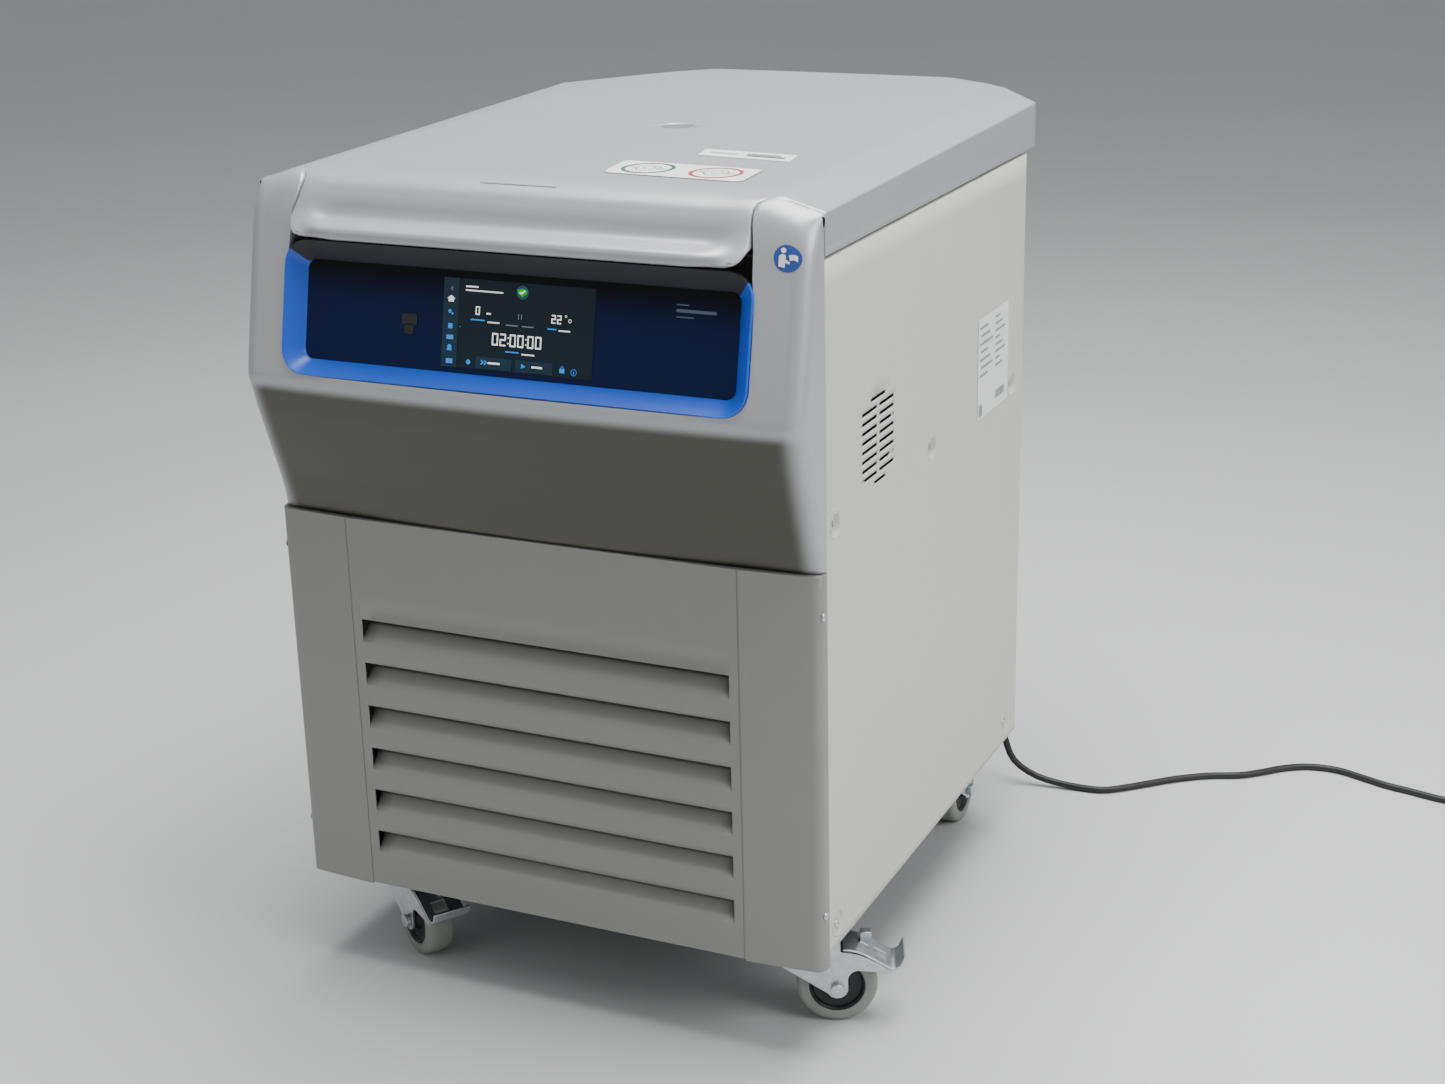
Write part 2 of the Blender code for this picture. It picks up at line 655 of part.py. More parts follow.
def make_console():
    back = SIDE_FRONT - FIT_GAP
    floor = GRILLE_TOP + FIT_GAP
    outline = [(back, floor)] + console_profile(0.0)
    outline[-1] = (back, CONSOLE_TOP)
    housing = add("console_housing", prism([outline], -HALF, HALF, ALONG_X), "silver_plastic")
    inside = console_profile(MOULDING)
    inside[-1] = (back + 0.02, inside[-1][1])
    inner = [(back + 0.02, floor + MOULDING)] + inside
    room = HALF - MOULDING
    cut(housing, prism([inner], -room, room, ALONG_X))
    cut(housing, box((-ARM_INNER, -0.1, NOSE_BOTTOM - 0.002), (ARM_INNER, 0.1, 0.9)))
    opening = BEZEL_HALF + FIT_GAP
    low = CONSOLE_FOOT_Z - FIT_GAP
    cut(housing, box((-opening, -0.1, low), (opening, tilted(0.13, 0.0)[0] + 0.02, NOSE_BOTTOM)))
    for side in (1, -1):
        edge = [
            (side * (ARM_INNER + 0.009), 0.8296), (side * (HALF + 0.0135), 0.8130), (side * (HALF + 0.0135), 0.85),
            (side * (ARM_INNER + 0.009), 0.85),
        ]
        cut(housing, prism([edge], -0.05, 0.05, ALONG_Y))


def tilted_ring(half, low, high, depth, corner, skip_top=False):
    """Rounded rectangle on a plane parallel to the console's face."""
    corners = [(half, low, 270), (half, high, 0), (-half, high, 90), (-half, low, 180)]
    points = []
    for u, v, start in corners:
        centre = (u - math.copysign(corner, u), v + (corner if v == low else -corner))
        for x, up in arc(centre, corner, start, start + 90, 4):
            y, z = tilted(up, depth)
            points.append((x, y, z))
    return points


def make_bezel():
    front = 0.0010
    outer_low = 0.0010
    blank = loft([
        tilted_ring(BEZEL_HALF, outer_low, BEZEL_HEIGHT, front, 0.024),
        tilted_ring(BEZEL_HALF, outer_low, BEZEL_HEIGHT, BEZEL_DEPTH + GLASS_SHEET, 0.024),
    ])
    bezel = add("console_bezel", blank, "blue_plastic")
    seat = GLASS_HALF + FIT_GAP
    seat_low = GLASS_LOW - FIT_GAP
    seat_high = GLASS_HIGH + FIT_GAP
    funnel = loft([
        tilted_ring(BEZEL_HALF - 0.0008, 0.0018, BEZEL_HEIGHT - 0.0015, front - 0.001, 0.024),
        tilted_ring(GLASS_HALF - 0.0010, GLASS_LOW + 0.0010, GLASS_HIGH - 0.0010, BEZEL_DEPTH - FIT_GAP, 0.009),
    ])
    cut(bezel, funnel)
    cut(bezel, loft([
        tilted_ring(seat, seat_low, seat_high, BEZEL_DEPTH - FIT_GAP - 0.0002, 0.009),
        tilted_ring(seat, seat_low, seat_high, BEZEL_DEPTH + 0.02, 0.009),
    ]))
    add("display_glass", loft([
        tilted_ring(GLASS_HALF, GLASS_LOW, GLASS_HIGH, BEZEL_DEPTH, 0.009),
        tilted_ring(GLASS_HALF, GLASS_LOW, GLASS_HIGH, BEZEL_DEPTH + GLASS_SHEET, 0.009),
    ]), "screen_glass")


# ---- lid ----

lid_hinge = empty("lid_hinge", (0.0, HINGE_Y, HINGE_Z), root)


def lid_rings(inset, bottom):
    """Skirt, edge and top rings of the lid's body."""
    right = [
        (HALF, LID_FRONT), (HALF, 0.30), (HALF, LID_SIDE_END), (LID_CHAMFER_HALF, LID_CHAMFER_Y),
        (LID_BACK_HALF, LID_BACK),
    ]
    pull = [(1, -1), (1, 0), (1, 0.3), (0.8, 0.7), (0.4, 1)]
    outline = [(x - inset * a, y - inset * b) for (x, y), (a, b) in zip(right, pull)]
    plan = outline + [(-x, y) for x, y in reversed(outline)]
    slope = (LID_EDGE_BACK - LID_EDGE_FRONT) / (LID_SIDE_END - LID_FRONT)
    skirt = [(x, y, bottom) for x, y in plan]
    edge = [(x, y, min(LID_EDGE_FRONT + slope * (y - LID_FRONT), LID_EDGE_BACK) - inset) for x, y in plan]
    top = []
    for x, y in plan:
        inward = math.copysign(LID_SLOPE, x) if abs(x) > HALF - 0.0465 else math.copysign(LID_SLOPE * 0.5, x)
        top.append((x - inward, min(y, LID_BACK - LID_SLOPE * 0.6), LID_TOP - inset))
    return [skirt, edge, top]


def nose_profile(inset):
    """(y, z) outline of the front grip: underside, lip, ledge and the roll up to the top."""
    up = -inset
    ledge = [
        (NOSE_FRONT + inset, 0.7740 + inset), (NOSE_FRONT + inset, 0.7825 + up), (-0.0265 + inset, 0.7850 + up),
        (-0.0100 + inset, 0.7905 + up), (-0.0045 + inset, 0.7955 + up), (-0.0020 + inset, 0.8060 + up * 0.5),
        (0.0040 + inset * 0.7, 0.8165 + up * 0.7), (0.0150 + inset * 0.4, 0.8245 + up), (0.0300, 0.8290 + up),
        (0.0450, 0.8303 + up),
    ]
    return ledge


def make_lid():
    shell = add("lid_shell", loft(lid_rings(0.0, SKIRT_BOTTOM)), "silver_plastic")
    nose = nose_profile(0.0) + [(0.0450, SKIRT_BOTTOM + 0.001), (0.0100, SKIRT_BOTTOM + 0.001)]
    nose += [(0.0060, NOSE_BOTTOM), (NOSE_FRONT + 0.0010, NOSE_BOTTOM)]
    join(shell, prism([nose], -NOSE_HALF, NOSE_HALF, ALONG_X))
    cut(shell, loft(lid_rings(MOULDING, SKIRT_BOTTOM - 0.02)))
    inner = nose_profile(MOULDING) + [(0.0450, NOSE_BOTTOM + MOULDING), (0.0, NOSE_BOTTOM + MOULDING)]
    room = NOSE_HALF - NOSE_CORNER
    cut(shell, prism([inner], -room, room, ALONG_X))
    for side in (1, -1):
        centre = (side * (NOSE_HALF - NOSE_CORNER), NOSE_BOTTOM + NOSE_CORNER)
        bend = arc(centre, NOSE_CORNER, 270, 360 if side > 0 else 180, 7)
        corner = [(side * 0.30, NOSE_BOTTOM - 0.01), (centre[0], NOSE_BOTTOM - 0.01)] + bend
        corner += [(side * 0.30, centre[1])]
        cut(shell, prism([corner], -0.0190, 0.05, ALONG_Y))
    cut(shell, rod(PORT_RADIUS + FIT_GAP, 0.80, 0.86, 32, upright(0, AXIS_Y)))
    hang(shell, lid_hinge)
    match_tools(shell)

    side = HALF - MOULDING - 0.0015
    top = LINER_BOTTOM + LINER_SHEET
    front = LID_FRONT + MOULDING + 0.003
    outline = [(-side, front), (side, front), (side, LINER_BACK - 0.040), (side - 0.025, LINER_BACK), (-side + 0.025, LINER_BACK),
               (-side, LINER_BACK - 0.040)]
    hole = circle((0, AXIS_Y), PORT_RADIUS + FIT_GAP, 32)
    liner = add("lid_liner", prism([outline, hole], LINER_BOTTOM, top, PLAN), "silver_plastic")
    eye = arc((HINGE_Y, HINGE_Z), 0.011, -85, 120, 8)
    root_y = HINGE_Y - 0.115
    lug = [(root_y, top - 0.0015), (HINGE_Y - 0.015, top - 0.0015)] + eye + [(root_y + 0.020, 0.800), (root_y, 0.798)]
    bore = circle((HINGE_Y, HINGE_Z), HINGE_SHAFT_RADIUS + FIT_GAP, 16)
    for x in (-HINGE_LUG_X, HINGE_LUG_X):
        join(liner, prism([lug, bore], x - HINGE_PLATE / 2, x + HINGE_PLATE / 2, ALONG_X))
    hang(liner, lid_hinge)
    match_tools(liner)

    reach = HINGE_LUG_X + 0.008
    shaft = add("hinge_shaft", rod(HINGE_SHAFT_RADIUS, -reach, reach, 16, lying_x(0, HINGE_Y, HINGE_Z)), "steel")
    hang(shaft, lid_hinge)
    port_top = LID_TOP + 0.0005
    port = [
        (0, port_top), (PORT_RADIUS, port_top), (PORT_RADIUS, LINER_BOTTOM), (0, LINER_BOTTOM),
    ]
    window = add("sight_port", turned(port, 32, upright(0, AXIS_Y), closed=False), "clear_acrylic")
    hang(window, lid_hinge)

    striker = add("lid_striker", box((-0.008, 0.0460, 0.7520), (0.008, 0.0490, LINER_BOTTOM - FIT_GAP)), "steel")
    cut(striker, box((-0.0050, 0.04, 0.7570), (0.0050, 0.06, 0.7665)))
    hang(striker, lid_hinge)
    match_tools(striker)


def match_tools(obj):
    """Gives an object's cutters the same parent as the object."""
    for modifier in obj.modifiers:
        modifier.object.parent = obj.parent
        modifier.object.matrix_parent_inverse = obj.matrix_parent_inverse


def make_hinge_brackets():
    eye = arc((HINGE_Y, HINGE_Z), 0.010, -98, 130, 8)
    foot = DECK_TOP + FIT_GAP
    front = HINGE_Y - 0.063
    outline = [(front, foot), (HOOD_BACK - 0.0025, foot)] + eye + [(front + 0.016, 0.796), (front, 0.785)]
    bore = circle((HINGE_Y, HINGE_Z), HINGE_SHAFT_RADIUS + FIT_GAP, 16)
    for name, x in (("hinge_bracket_left", -HINGE_BRACKET_X), ("hinge_bracket_right", HINGE_BRACKET_X)):
        add(name, prism([outline, bore], x - HINGE_PLATE / 2, x + HINGE_PLATE / 2, ALONG_X), "steel")


def make_latch():
    """Hook for the striker's window, shown released: it swings forward about a pivot below its tip."""
    pivot = empty("latch_pivot", (0.0, 0.0550, 0.7350), root)
    pivot.rotation_euler.x = -LATCH_RELEASE
    outline = [
        (0.0510, 0.7310), (0.0590, 0.7310), (0.0600, 0.7630), (0.0445, 0.7630), (0.0445, 0.7590), (0.0510, 0.7570),
    ]
    hook = add("latch_hook", prism([outline], -0.004, 0.004, ALONG_X), "steel")
    hang(hook, pivot)


# ---- drive and rotor ----

rotor_axis = empty("rotor_axis", (0.0, AXIS_Y, 0.0), root)


def make_drive():
    boss_top = BOWL_BOTTOM + 0.017
    profile = [
        (0, boss_top), (0.028, boss_top), (0.030, MOTOR_TOP + 0.010), (MOTOR_RADIUS - 0.010, MOTOR_TOP + 0.005),
        (MOTOR_RADIUS, MOTOR_TOP), (MOTOR_RADIUS, 0.170), (0.060, 0.155), (0.060, FLOOR_PAN + 0.008),
        (0.095, FLOOR_PAN + 0.008), (0.095, FLOOR_PAN), (0, FLOOR_PAN),
    ]
    add("drive_motor", turned(profile, 32, upright(0, AXIS_Y), closed=False), "dark_steel")
    low = boss_top + FIT_GAP
    high = ROTOR_BOTTOM - FIT_GAP
    spindle = [
        (0, high), (0.009, high), (SPINDLE_RADIUS + 0.003, high - 0.022), (SPINDLE_RADIUS + 0.003, high - 0.026),
        (SPINDLE_RADIUS, high - 0.026), (SPINDLE_RADIUS, low), (0, low),
    ]
    add("drive_spindle", turned(spindle, 20, upright(0, 0), closed=False), "steel", rotor_axis)


def rotor_arm(turn):
    """One arm at 45 degrees; its two end faces look along the axes of the buckets beside it."""
    face = ARM_FACE
    near = TRUNNION_REACH - 0.017
    far = TRUNNION_REACH + 0.016
    half = [(0.020, -0.010), (0.050, 0.026), (near, face), (far, face), (far, face + 0.018)]
    points = half + [(y, x) for x, y in reversed(half)]
    c, s = round(math.cos(turn)), round(math.sin(turn))
    return [(c * x - s * y, s * x + c * y) for x, y in points]


def make_rotor():
    hub = [
        (0, 0.612), (0.040, 0.612), (0.048, ROTOR_ARM_HIGH - 0.002), (0.048, 0.565), (0.040, ROTOR_BOTTOM),
        (0, ROTOR_BOTTOM),
    ]
    rotor = add("rotor_body", turned(hub, 32, upright(0, 0), closed=False), "aluminium", rotor_axis)
    for quarter in range(4):
        join(rotor, prism([rotor_arm(quarter * math.pi / 2)], ROTOR_ARM_LOW, ROTOR_ARM_HIGH, PLAN))
    notch = TRUNNION_RADIUS + FIT_GAP
    reach = ARM_FACE + 0.0075
    near = TRUNNION_REACH - notch
    far = TRUNNION_REACH + notch
    low = TRUNNION_Z - notch
    for low_x, high_x, low_y, high_y in (
        (near, far, -reach, reach), (-far, -near, -reach, reach), (-reach, reach, near, far), (-reach, reach, -far, -near),
    ):
        cut(rotor, box((low_x, low_y, low), (high_x, high_y, 0.64)))
    knob = [
        (0, 0.642), (0.013, 0.642), (0.018, 0.636), (0.018, 0.622), (0.010, 0.618), (0.010, 0.6123), (0, 0.6123),
    ]
    add("rotor_knob", turned(knob, 20, upright(0, 0), closed=False), "black_plastic", rotor_axis)
    for number in range(4):
        make_bucket(number)


def make_bucket(number):
    """Round swing bucket with a trunnion on each side, hanging in the notches of two arms."""
    angle = number * math.pi / 2
    place = (TRUNNION_REACH * math.cos(angle), TRUNNION_REACH * math.sin(angle), TRUNNION_Z)
    pivot = empty(f"bucket_{number + 1}_pivot", place, rotor_axis, angle)
    inner = BUCKET_RADIUS - BUCKET_WALL
    cup = [
        (BUCKET_RADIUS, BUCKET_RIM), (BUCKET_RADIUS, -BUCKET_DROP + 0.012), (BUCKET_RADIUS - 0.012, -BUCKET_DROP),
        (0, -BUCKET_DROP), (0, -BUCKET_DROP + BUCKET_WALL), (inner - 0.011, -BUCKET_DROP + BUCKET_WALL),
        (inner, -BUCKET_DROP + 0.013), (inner, BUCKET_RIM),
    ]
    bucket = add(f"bucket_{number + 1}", turned(cup, 24, Matrix.Identity(4)), "aluminium", pivot)
    reach = ARM_FACE + 0.0065
    for start, end in ((-reach, -BUCKET_RADIUS + 0.001), (BUCKET_RADIUS - 0.001, reach)):
        join(bucket, rod(TRUNNION_RADIUS, start, end, 12, lying_y(0, 0, 0)))


# ---- refrigeration, power and mains ----

def make_services():
    shell = [
        (0, 0.330), (0.035, 0.326), (0.060, 0.305), (0.068, 0.280), (0.068, 0.160), (0.055, 0.135),
        (0.055, FLOOR_PAN + 0.006), (0.080, FLOOR_PAN + 0.006), (0.080, FLOOR_PAN), (0, FLOOR_PAN),
    ]
    add("compressor", turned(shell, 24, upright(-0.170, 0.470), closed=False), "dark_steel")

    half = 0.185
    top = 0.400
    condenser = add("condenser", box((-half, 0.045, FLOOR_PAN), (half, 0.072, top)), "aluminium")
    fins = [((-half + 0.012, 0.040, z), (half - 0.012, 0.050, z + 0.010)) for z in fin_levels(top)]
    cut(condenser, boxes(fins))

    middle = (FLOOR_PAN + top) / 2
    plate = box((-half, 0.0760, FLOOR_PAN), (half, 0.0780, top))
    shroud = add("fan_shroud", plate, "black_plastic")
    cut(shroud, rod(0.108, 0.0, 0.2, 32, lying_y(0, 0, middle)))
    duct = [(0.111, 0.1180), (0.111, 0.0775), (0.1070, 0.0775), (0.1070, 0.1180)]
    join(shroud, turned(duct, 32, lying_y(0, 0, middle)))
    join(shroud, box((-0.109, 0.1120, middle - 0.007), (0.109, 0.1160, middle + 0.007)))
    join(shroud, rod(0.026, 0.1105, 0.1400, 20, lying_y(0, 0, middle)))

    axis = empty("fan_axis", (0.0, 0.0950, middle), root)
    fan = add("condenser_fan", rod(0.026, -0.010, 0.010, 15, lying_y(0, 0, 0)), "black_plastic", axis)
    for blade in range(5):
        join(fan, fan_blade(blade * math.tau / 5))

    low = (0.110, 0.425, FLOOR_PAN)
    module = add("power_module", box(low, (0.255, 0.545, 0.330)), "aluminium")
    cut(module, boxes([((0.100, 0.437 + i * 0.020, 0.270), (0.265, 0.449 + i * 0.020, 0.340)) for i in range(5)]))


def fin_levels(top):
    return [FLOOR_PAN + 0.012 + i * 0.020 for i in range(13) if FLOOR_PAN + 0.012 + i * 0.020 < top - 0.02]


def fan_blade(angle):
    """Flat blade with 30 degrees of pitch, turned round the fan's axis."""
    bm = bmesh.new()
    bmesh.ops.create_cube(bm, size=1.0, matrix=Matrix.Diagonal((0.034, 0.0022, 0.078, 1.0)))
    pitch = Matrix.Rotation(math.radians(30), 4, "Z")
    place = Matrix.Rotation(angle, 4, "Y") @ Matrix.Translation((0, 0, 0.063)) @ pitch
    bmesh.ops.transform(bm, matrix=place, verts=bm.verts)
    return mesh_of(bm)


def make_switch():
    """Mains rocker in its window in the rear panel."""
    back = SIDE_BACK - SHEET - FIT_GAP
    pivot = empty("switch_pivot", (GLAND_X, back, SWITCH_Z), root)
    outline = [(0.0060, -0.0130), (0.0015, 0.0), (0.0035, 0.0130), (-0.0060, 0.0120), (-0.0080, 0.0), (-0.0060, -0.0120)]
    add("mains_switch", prism([outline], -0.0088, 0.0088, ALONG_X), "black_plastic", pivot)


# Points of the lead's route after the gland, chosen by hand along its fall and across the floor.
CORD_ROUTE = [
    (0.2352, 0.640, 0.1535), (0.2365, 0.658, 0.1420), (0.2385, 0.670, 0.1180), (0.2420, 0.6760, 0.0880),
    (0.2480, 0.6780, 0.0560), (0.2600, 0.6780, 0.0290), (0.2880, 0.6800, 0.0120), (0.3260, 0.6830, 0.0052),
    (0.3644, 0.6870, 0.0040), (0.3872, 0.7018, 0.0040), (0.4104, 0.7232, 0.0040), (0.4409, 0.7513, 0.0040),
    (0.4733, 0.7737, 0.0040), (0.5076, 0.7890, 0.0040), (0.5290, 0.8060, 0.0040), (0.5542, 0.8300, 0.0040),
    (0.5813, 0.8450, 0.0040), (0.6143, 0.8475, 0.0040), (0.6456, 0.8370, 0.0040), (0.6765, 0.8255, 0.0040),
    (0.7022, 0.8200, 0.0040), (0.7470, 0.8100, 0.0040), (0.7800, 0.8150, 0.0040), (0.8120, 0.8300, 0.0040),
    (*CORD_END, 0.0040),
]


def smooth(points, per_span):
    """Catmull-Rom curve through the points."""
    guides = [Vector(p) for p in points]
    guides = [2 * guides[0] - guides[1]] + guides + [2 * guides[-1] - guides[-2]]
    out = []
    for a, b, c, d in zip(guides, guides[1:], guides[2:], guides[3:]):
        for i in range(per_span):
            t = i / per_span
            out.append(0.5 * (2 * b + (c - a) * t + (2 * a - 5 * b + 4 * c - d) * t * t
                              + (3 * b - 3 * c + d - a) * t ** 3))
    out.append(guides[-2])
    return out


def make_cord():
    face = SIDE_BACK - SHEET - FIT_GAP + FIT_GAP
    end = face + GLAND_LENGTH
    gland = [
        (0, end), (0.0056, end), (0.0085, face + 0.006), (0.0140, face + 0.006), (0.0140, face), (0, face),
    ]
    place = lying_y(GLAND_X, 0, GLAND_Z)
    add("cord_gland", turned(gland, 16, place, closed=False), "black_plastic")

    curve = bpy.data.curves.new("cord_run", "CURVE")
    curve.dimensions = "3D"
    curve.bevel_depth = CORD_RADIUS
    curve.bevel_resolution = 2
    curve.use_fill_caps = True
    points = smooth([(GLAND_X, end + FIT_GAP, GLAND_Z)] + CORD_ROUTE, 2)
    spline = curve.splines.new("POLY")
    spline.points.add(len(points) - 1)
    for point, place in zip(spline.points, points):
        point.co = (*place, 1.0)
    run = bpy.data.objects.new("cord_run", curve)
    curve.materials.append(MATERIALS["cord_rubber"])
    run.parent = root
    parts.objects.link(run)

    inner = COIL_MEAN_RADIUS - COIL_WIDTH / 2
    outer = COIL_MEAN_RADIUS + COIL_WIDTH / 2
    ring = [(outer, COIL_HEIGHT - 0.004), (outer, 0.004), (outer - 0.004, 0.0), (inner + 0.004, 0.0),
            (inner, 0.004), (inner, COIL_HEIGHT - 0.004), (inner + 0.004, COIL_HEIGHT), (outer - 0.004, COIL_HEIGHT)]
    add("cord_coil", turned(ring, 32, upright(*COIL_CENTRE)), "cord_rubber")
    make_plug(COIL_CENTRE[0] + COIL_MEAN_RADIUS - 0.004, COIL_CENTRE[1] - outer - 0.004)


def make_plug(x, y):
    """Two-pin mains plug lying beside the coil, its pins pointing away."""
    holder = empty("plug_place", (x, y, 0.0), root, math.radians(-90))
    body = loft([
        [(0.000, -0.006, 0.004), (0.000, 0.006, 0.004), (0.000, 0.006, 0.014), (0.000, -0.006, 0.014)],
        [(0.020, -0.016, 0.0005), (0.020, 0.016, 0.0005), (0.020, 0.016, 0.0215), (0.020, -0.016, 0.0215)],
        [(0.042, -0.018, 0.0002), (0.042, 0.018, 0.0002), (0.042, 0.018, 0.0240), (0.042, -0.018, 0.0240)],
    ])
    plug = add("mains_plug", body, "black_plastic", holder)
    turn = Matrix.Rotation(math.pi / 2, 4, "Y")
    for side in (-0.0095, 0.0095):
        join(plug, rod(0.0024, 0.040, 0.060, 10, Matrix.Translation((0, side, 0.012)) @ turn))


def make_machine():
    for place in CASTER_ANGLES:
        x = -CASTER_X if "left" in place else CASTER_X
        y = CASTER_FRONT_Y if "front" in place else CASTER_REAR_Y
        make_caster(place, x, y, "front" in place)
    make_base()
    make_grille()
    make_side("left_side_panel", -1)
    make_side("right_side_panel", 1)
    make_rear()
    make_hood()
    make_deck()
    make_chamber()
    make_console()
    make_bezel()
    make_lid()
    make_hinge_brackets()
    make_latch()
    make_drive()
    make_rotor()
    make_services()
    make_switch()
    make_cord()


make_machine()
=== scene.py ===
import json
import math

import bmesh
import bpy
import numpy as np
from mathutils import Matrix, Vector


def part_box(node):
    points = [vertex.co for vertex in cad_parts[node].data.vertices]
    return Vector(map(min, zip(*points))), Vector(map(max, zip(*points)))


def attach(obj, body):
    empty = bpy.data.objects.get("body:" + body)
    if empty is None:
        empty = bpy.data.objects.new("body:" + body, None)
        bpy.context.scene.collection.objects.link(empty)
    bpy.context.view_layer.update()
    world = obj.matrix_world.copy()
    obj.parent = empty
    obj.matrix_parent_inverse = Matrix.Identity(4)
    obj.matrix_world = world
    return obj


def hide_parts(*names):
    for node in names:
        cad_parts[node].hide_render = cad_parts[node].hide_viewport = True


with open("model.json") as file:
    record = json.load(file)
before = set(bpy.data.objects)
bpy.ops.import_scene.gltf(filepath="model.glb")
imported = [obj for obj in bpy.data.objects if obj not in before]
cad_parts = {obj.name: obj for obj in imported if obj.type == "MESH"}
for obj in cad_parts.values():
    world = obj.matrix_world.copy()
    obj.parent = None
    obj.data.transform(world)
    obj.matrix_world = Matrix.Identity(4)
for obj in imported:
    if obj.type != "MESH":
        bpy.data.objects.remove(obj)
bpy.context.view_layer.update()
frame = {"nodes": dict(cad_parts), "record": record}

# The machine's own coordinates: x from its mid-plane, y back from the grille's face, z from the floor.
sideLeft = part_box("left_side_panel")
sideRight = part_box("right_side_panel")
midX = (sideLeft[0][0] + sideRight[1][0]) / 2
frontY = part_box("front_panel")[0][1]
shift = np.array([midX, frontY, 0.0])
halfWidth = (sideRight[1][0] - sideLeft[0][0]) / 2
rotorY = (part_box("chamber_bowl")[0][1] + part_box("chamber_bowl")[1][1]) / 2 - frontY

# Camera, floor and light

view = {"place": (1.009, -1.7432, 1.1846), "azimuth": 25.035, "down": 19.075, "roll": -1.3556, "lens": 56.76}


def makeCamera():
    # Looks level along +y, is turned by the azimuth, tipped down, then rolled about its own line of sight.
    data = bpy.data.cameras.new("camera")
    data.lens = view["lens"]
    data.sensor_width = 36
    camera = bpy.data.objects.new("camera", data)
    bpy.context.scene.collection.objects.link(camera)
    turn = Matrix.Rotation(math.radians(view["azimuth"]), 4, "Z")
    tip = Matrix.Rotation(math.radians(90 - view["down"]), 4, "X")
    roll = Matrix.Rotation(math.radians(view["roll"]), 4, "Z")
    place = Vector(view["place"]) + Vector(shift)
    camera.matrix_world = Matrix.Translation(place) @ turn @ tip @ roll
    bpy.context.scene.camera = camera


def hexColour(text):
    # sRGB hex to linear: each channel is divided by 12.92 near black, else raised to the power 2.4
    channels = [int(text[i:i + 2], 16) / 255 for i in (1, 3, 5)]
    return tuple(c / 12.92 if c <= 0.04045 else ((c + 0.055) / 1.055) ** 2.4 for c in channels) + (1.0,)


def addNode(tree, kind, settings=None, **inputs):
    # A node of that kind: settings are its properties, and inputs are values or sockets to link from.
    node = tree.nodes.new(kind)
    for name, value in (settings or {}).items():
        setattr(node, name, value)
    for name, value in inputs.items():
        key = int(name[1:]) if name[0] == "_" and name[1:].isdigit() else name.replace("_", " ")
        socket = node.inputs[key]
        if isinstance(value, bpy.types.NodeSocket):
            tree.links.new(value, socket)
        else:
            socket.default_value = value
    return node


def startMaterial(name):
    # An empty material with its Principled shader and Object coordinates in metres
    material = bpy.data.materials.new(name)
    material.use_nodes = True
    tree = material.node_tree
    shader = tree.nodes["Principled BSDF"]
    spot = addNode(tree, "ShaderNodeTexCoord").outputs["Object"]
    return material, tree, shader, spot


lights = {
    "ceiling": ((0.3, 0.5, 2.9), (0.0, 0.25, 0.5), 2.4, 145),
    "rightWindow": ((2.8, -0.2, 1.9), (0.2, 0.2, 0.45), 1.8, 44),
    "frontFill": ((-1.4, -2.8, 1.7), (0.0, 0.0, 0.4), 2.0, 8),
}


def makeStage():
    # A plain pale floor, three soft lights and an even pale sky
    mesh = bpy.data.meshes.new("floor")
    reach = 14.0
    mesh.from_pydata([(-reach, -reach, 0), (reach, -reach, 0), (reach, reach, 0), (-reach, reach, 0)], [],
                     [(0, 1, 2, 3)])
    floor = bpy.data.objects.new("floor", mesh)
    bpy.context.scene.collection.objects.link(floor)
    material, tree, shader, spot = startMaterial("paleFloor")
    cloud = addNode(tree, "ShaderNodeTexNoise", Vector=spot, Scale=1.3, Detail=3.0)
    tone = addNode(tree, "ShaderNodeMixRGB", Fac=cloud.outputs["Fac"], Color1=hexColour("#c9cacb"),
                   Color2=hexColour("#cfd0d0"))
    tree.links.new(tone.outputs["Color"], shader.inputs["Base Color"])
    shader.inputs["Roughness"].default_value = 0.75
    floor.data.materials.append(material)
    for name, (place, aim, size, power) in lights.items():
        data = bpy.data.lights.new(name, "AREA")
        data.shape = "DISK"
        data.size = size
        data.energy = power
        lamp = bpy.data.objects.new(name, data)
        lamp.location = Vector(place) + Vector(shift)
        look = Vector(aim) - Vector(place)
        lamp.rotation_euler = look.to_track_quat("-Z", "Y").to_euler()
        bpy.context.scene.collection.objects.link(lamp)
    world = bpy.data.worlds.new("sky")
    world.use_nodes = True
    world.node_tree.nodes["Background"].inputs["Color"].default_value = hexColour("#eef0f2")
    world.node_tree.nodes["Background"].inputs["Strength"].default_value = 0.42
    bpy.context.scene.world = world


makeCamera()
makeStage()
print("camera, floor and light are set")

# Materials

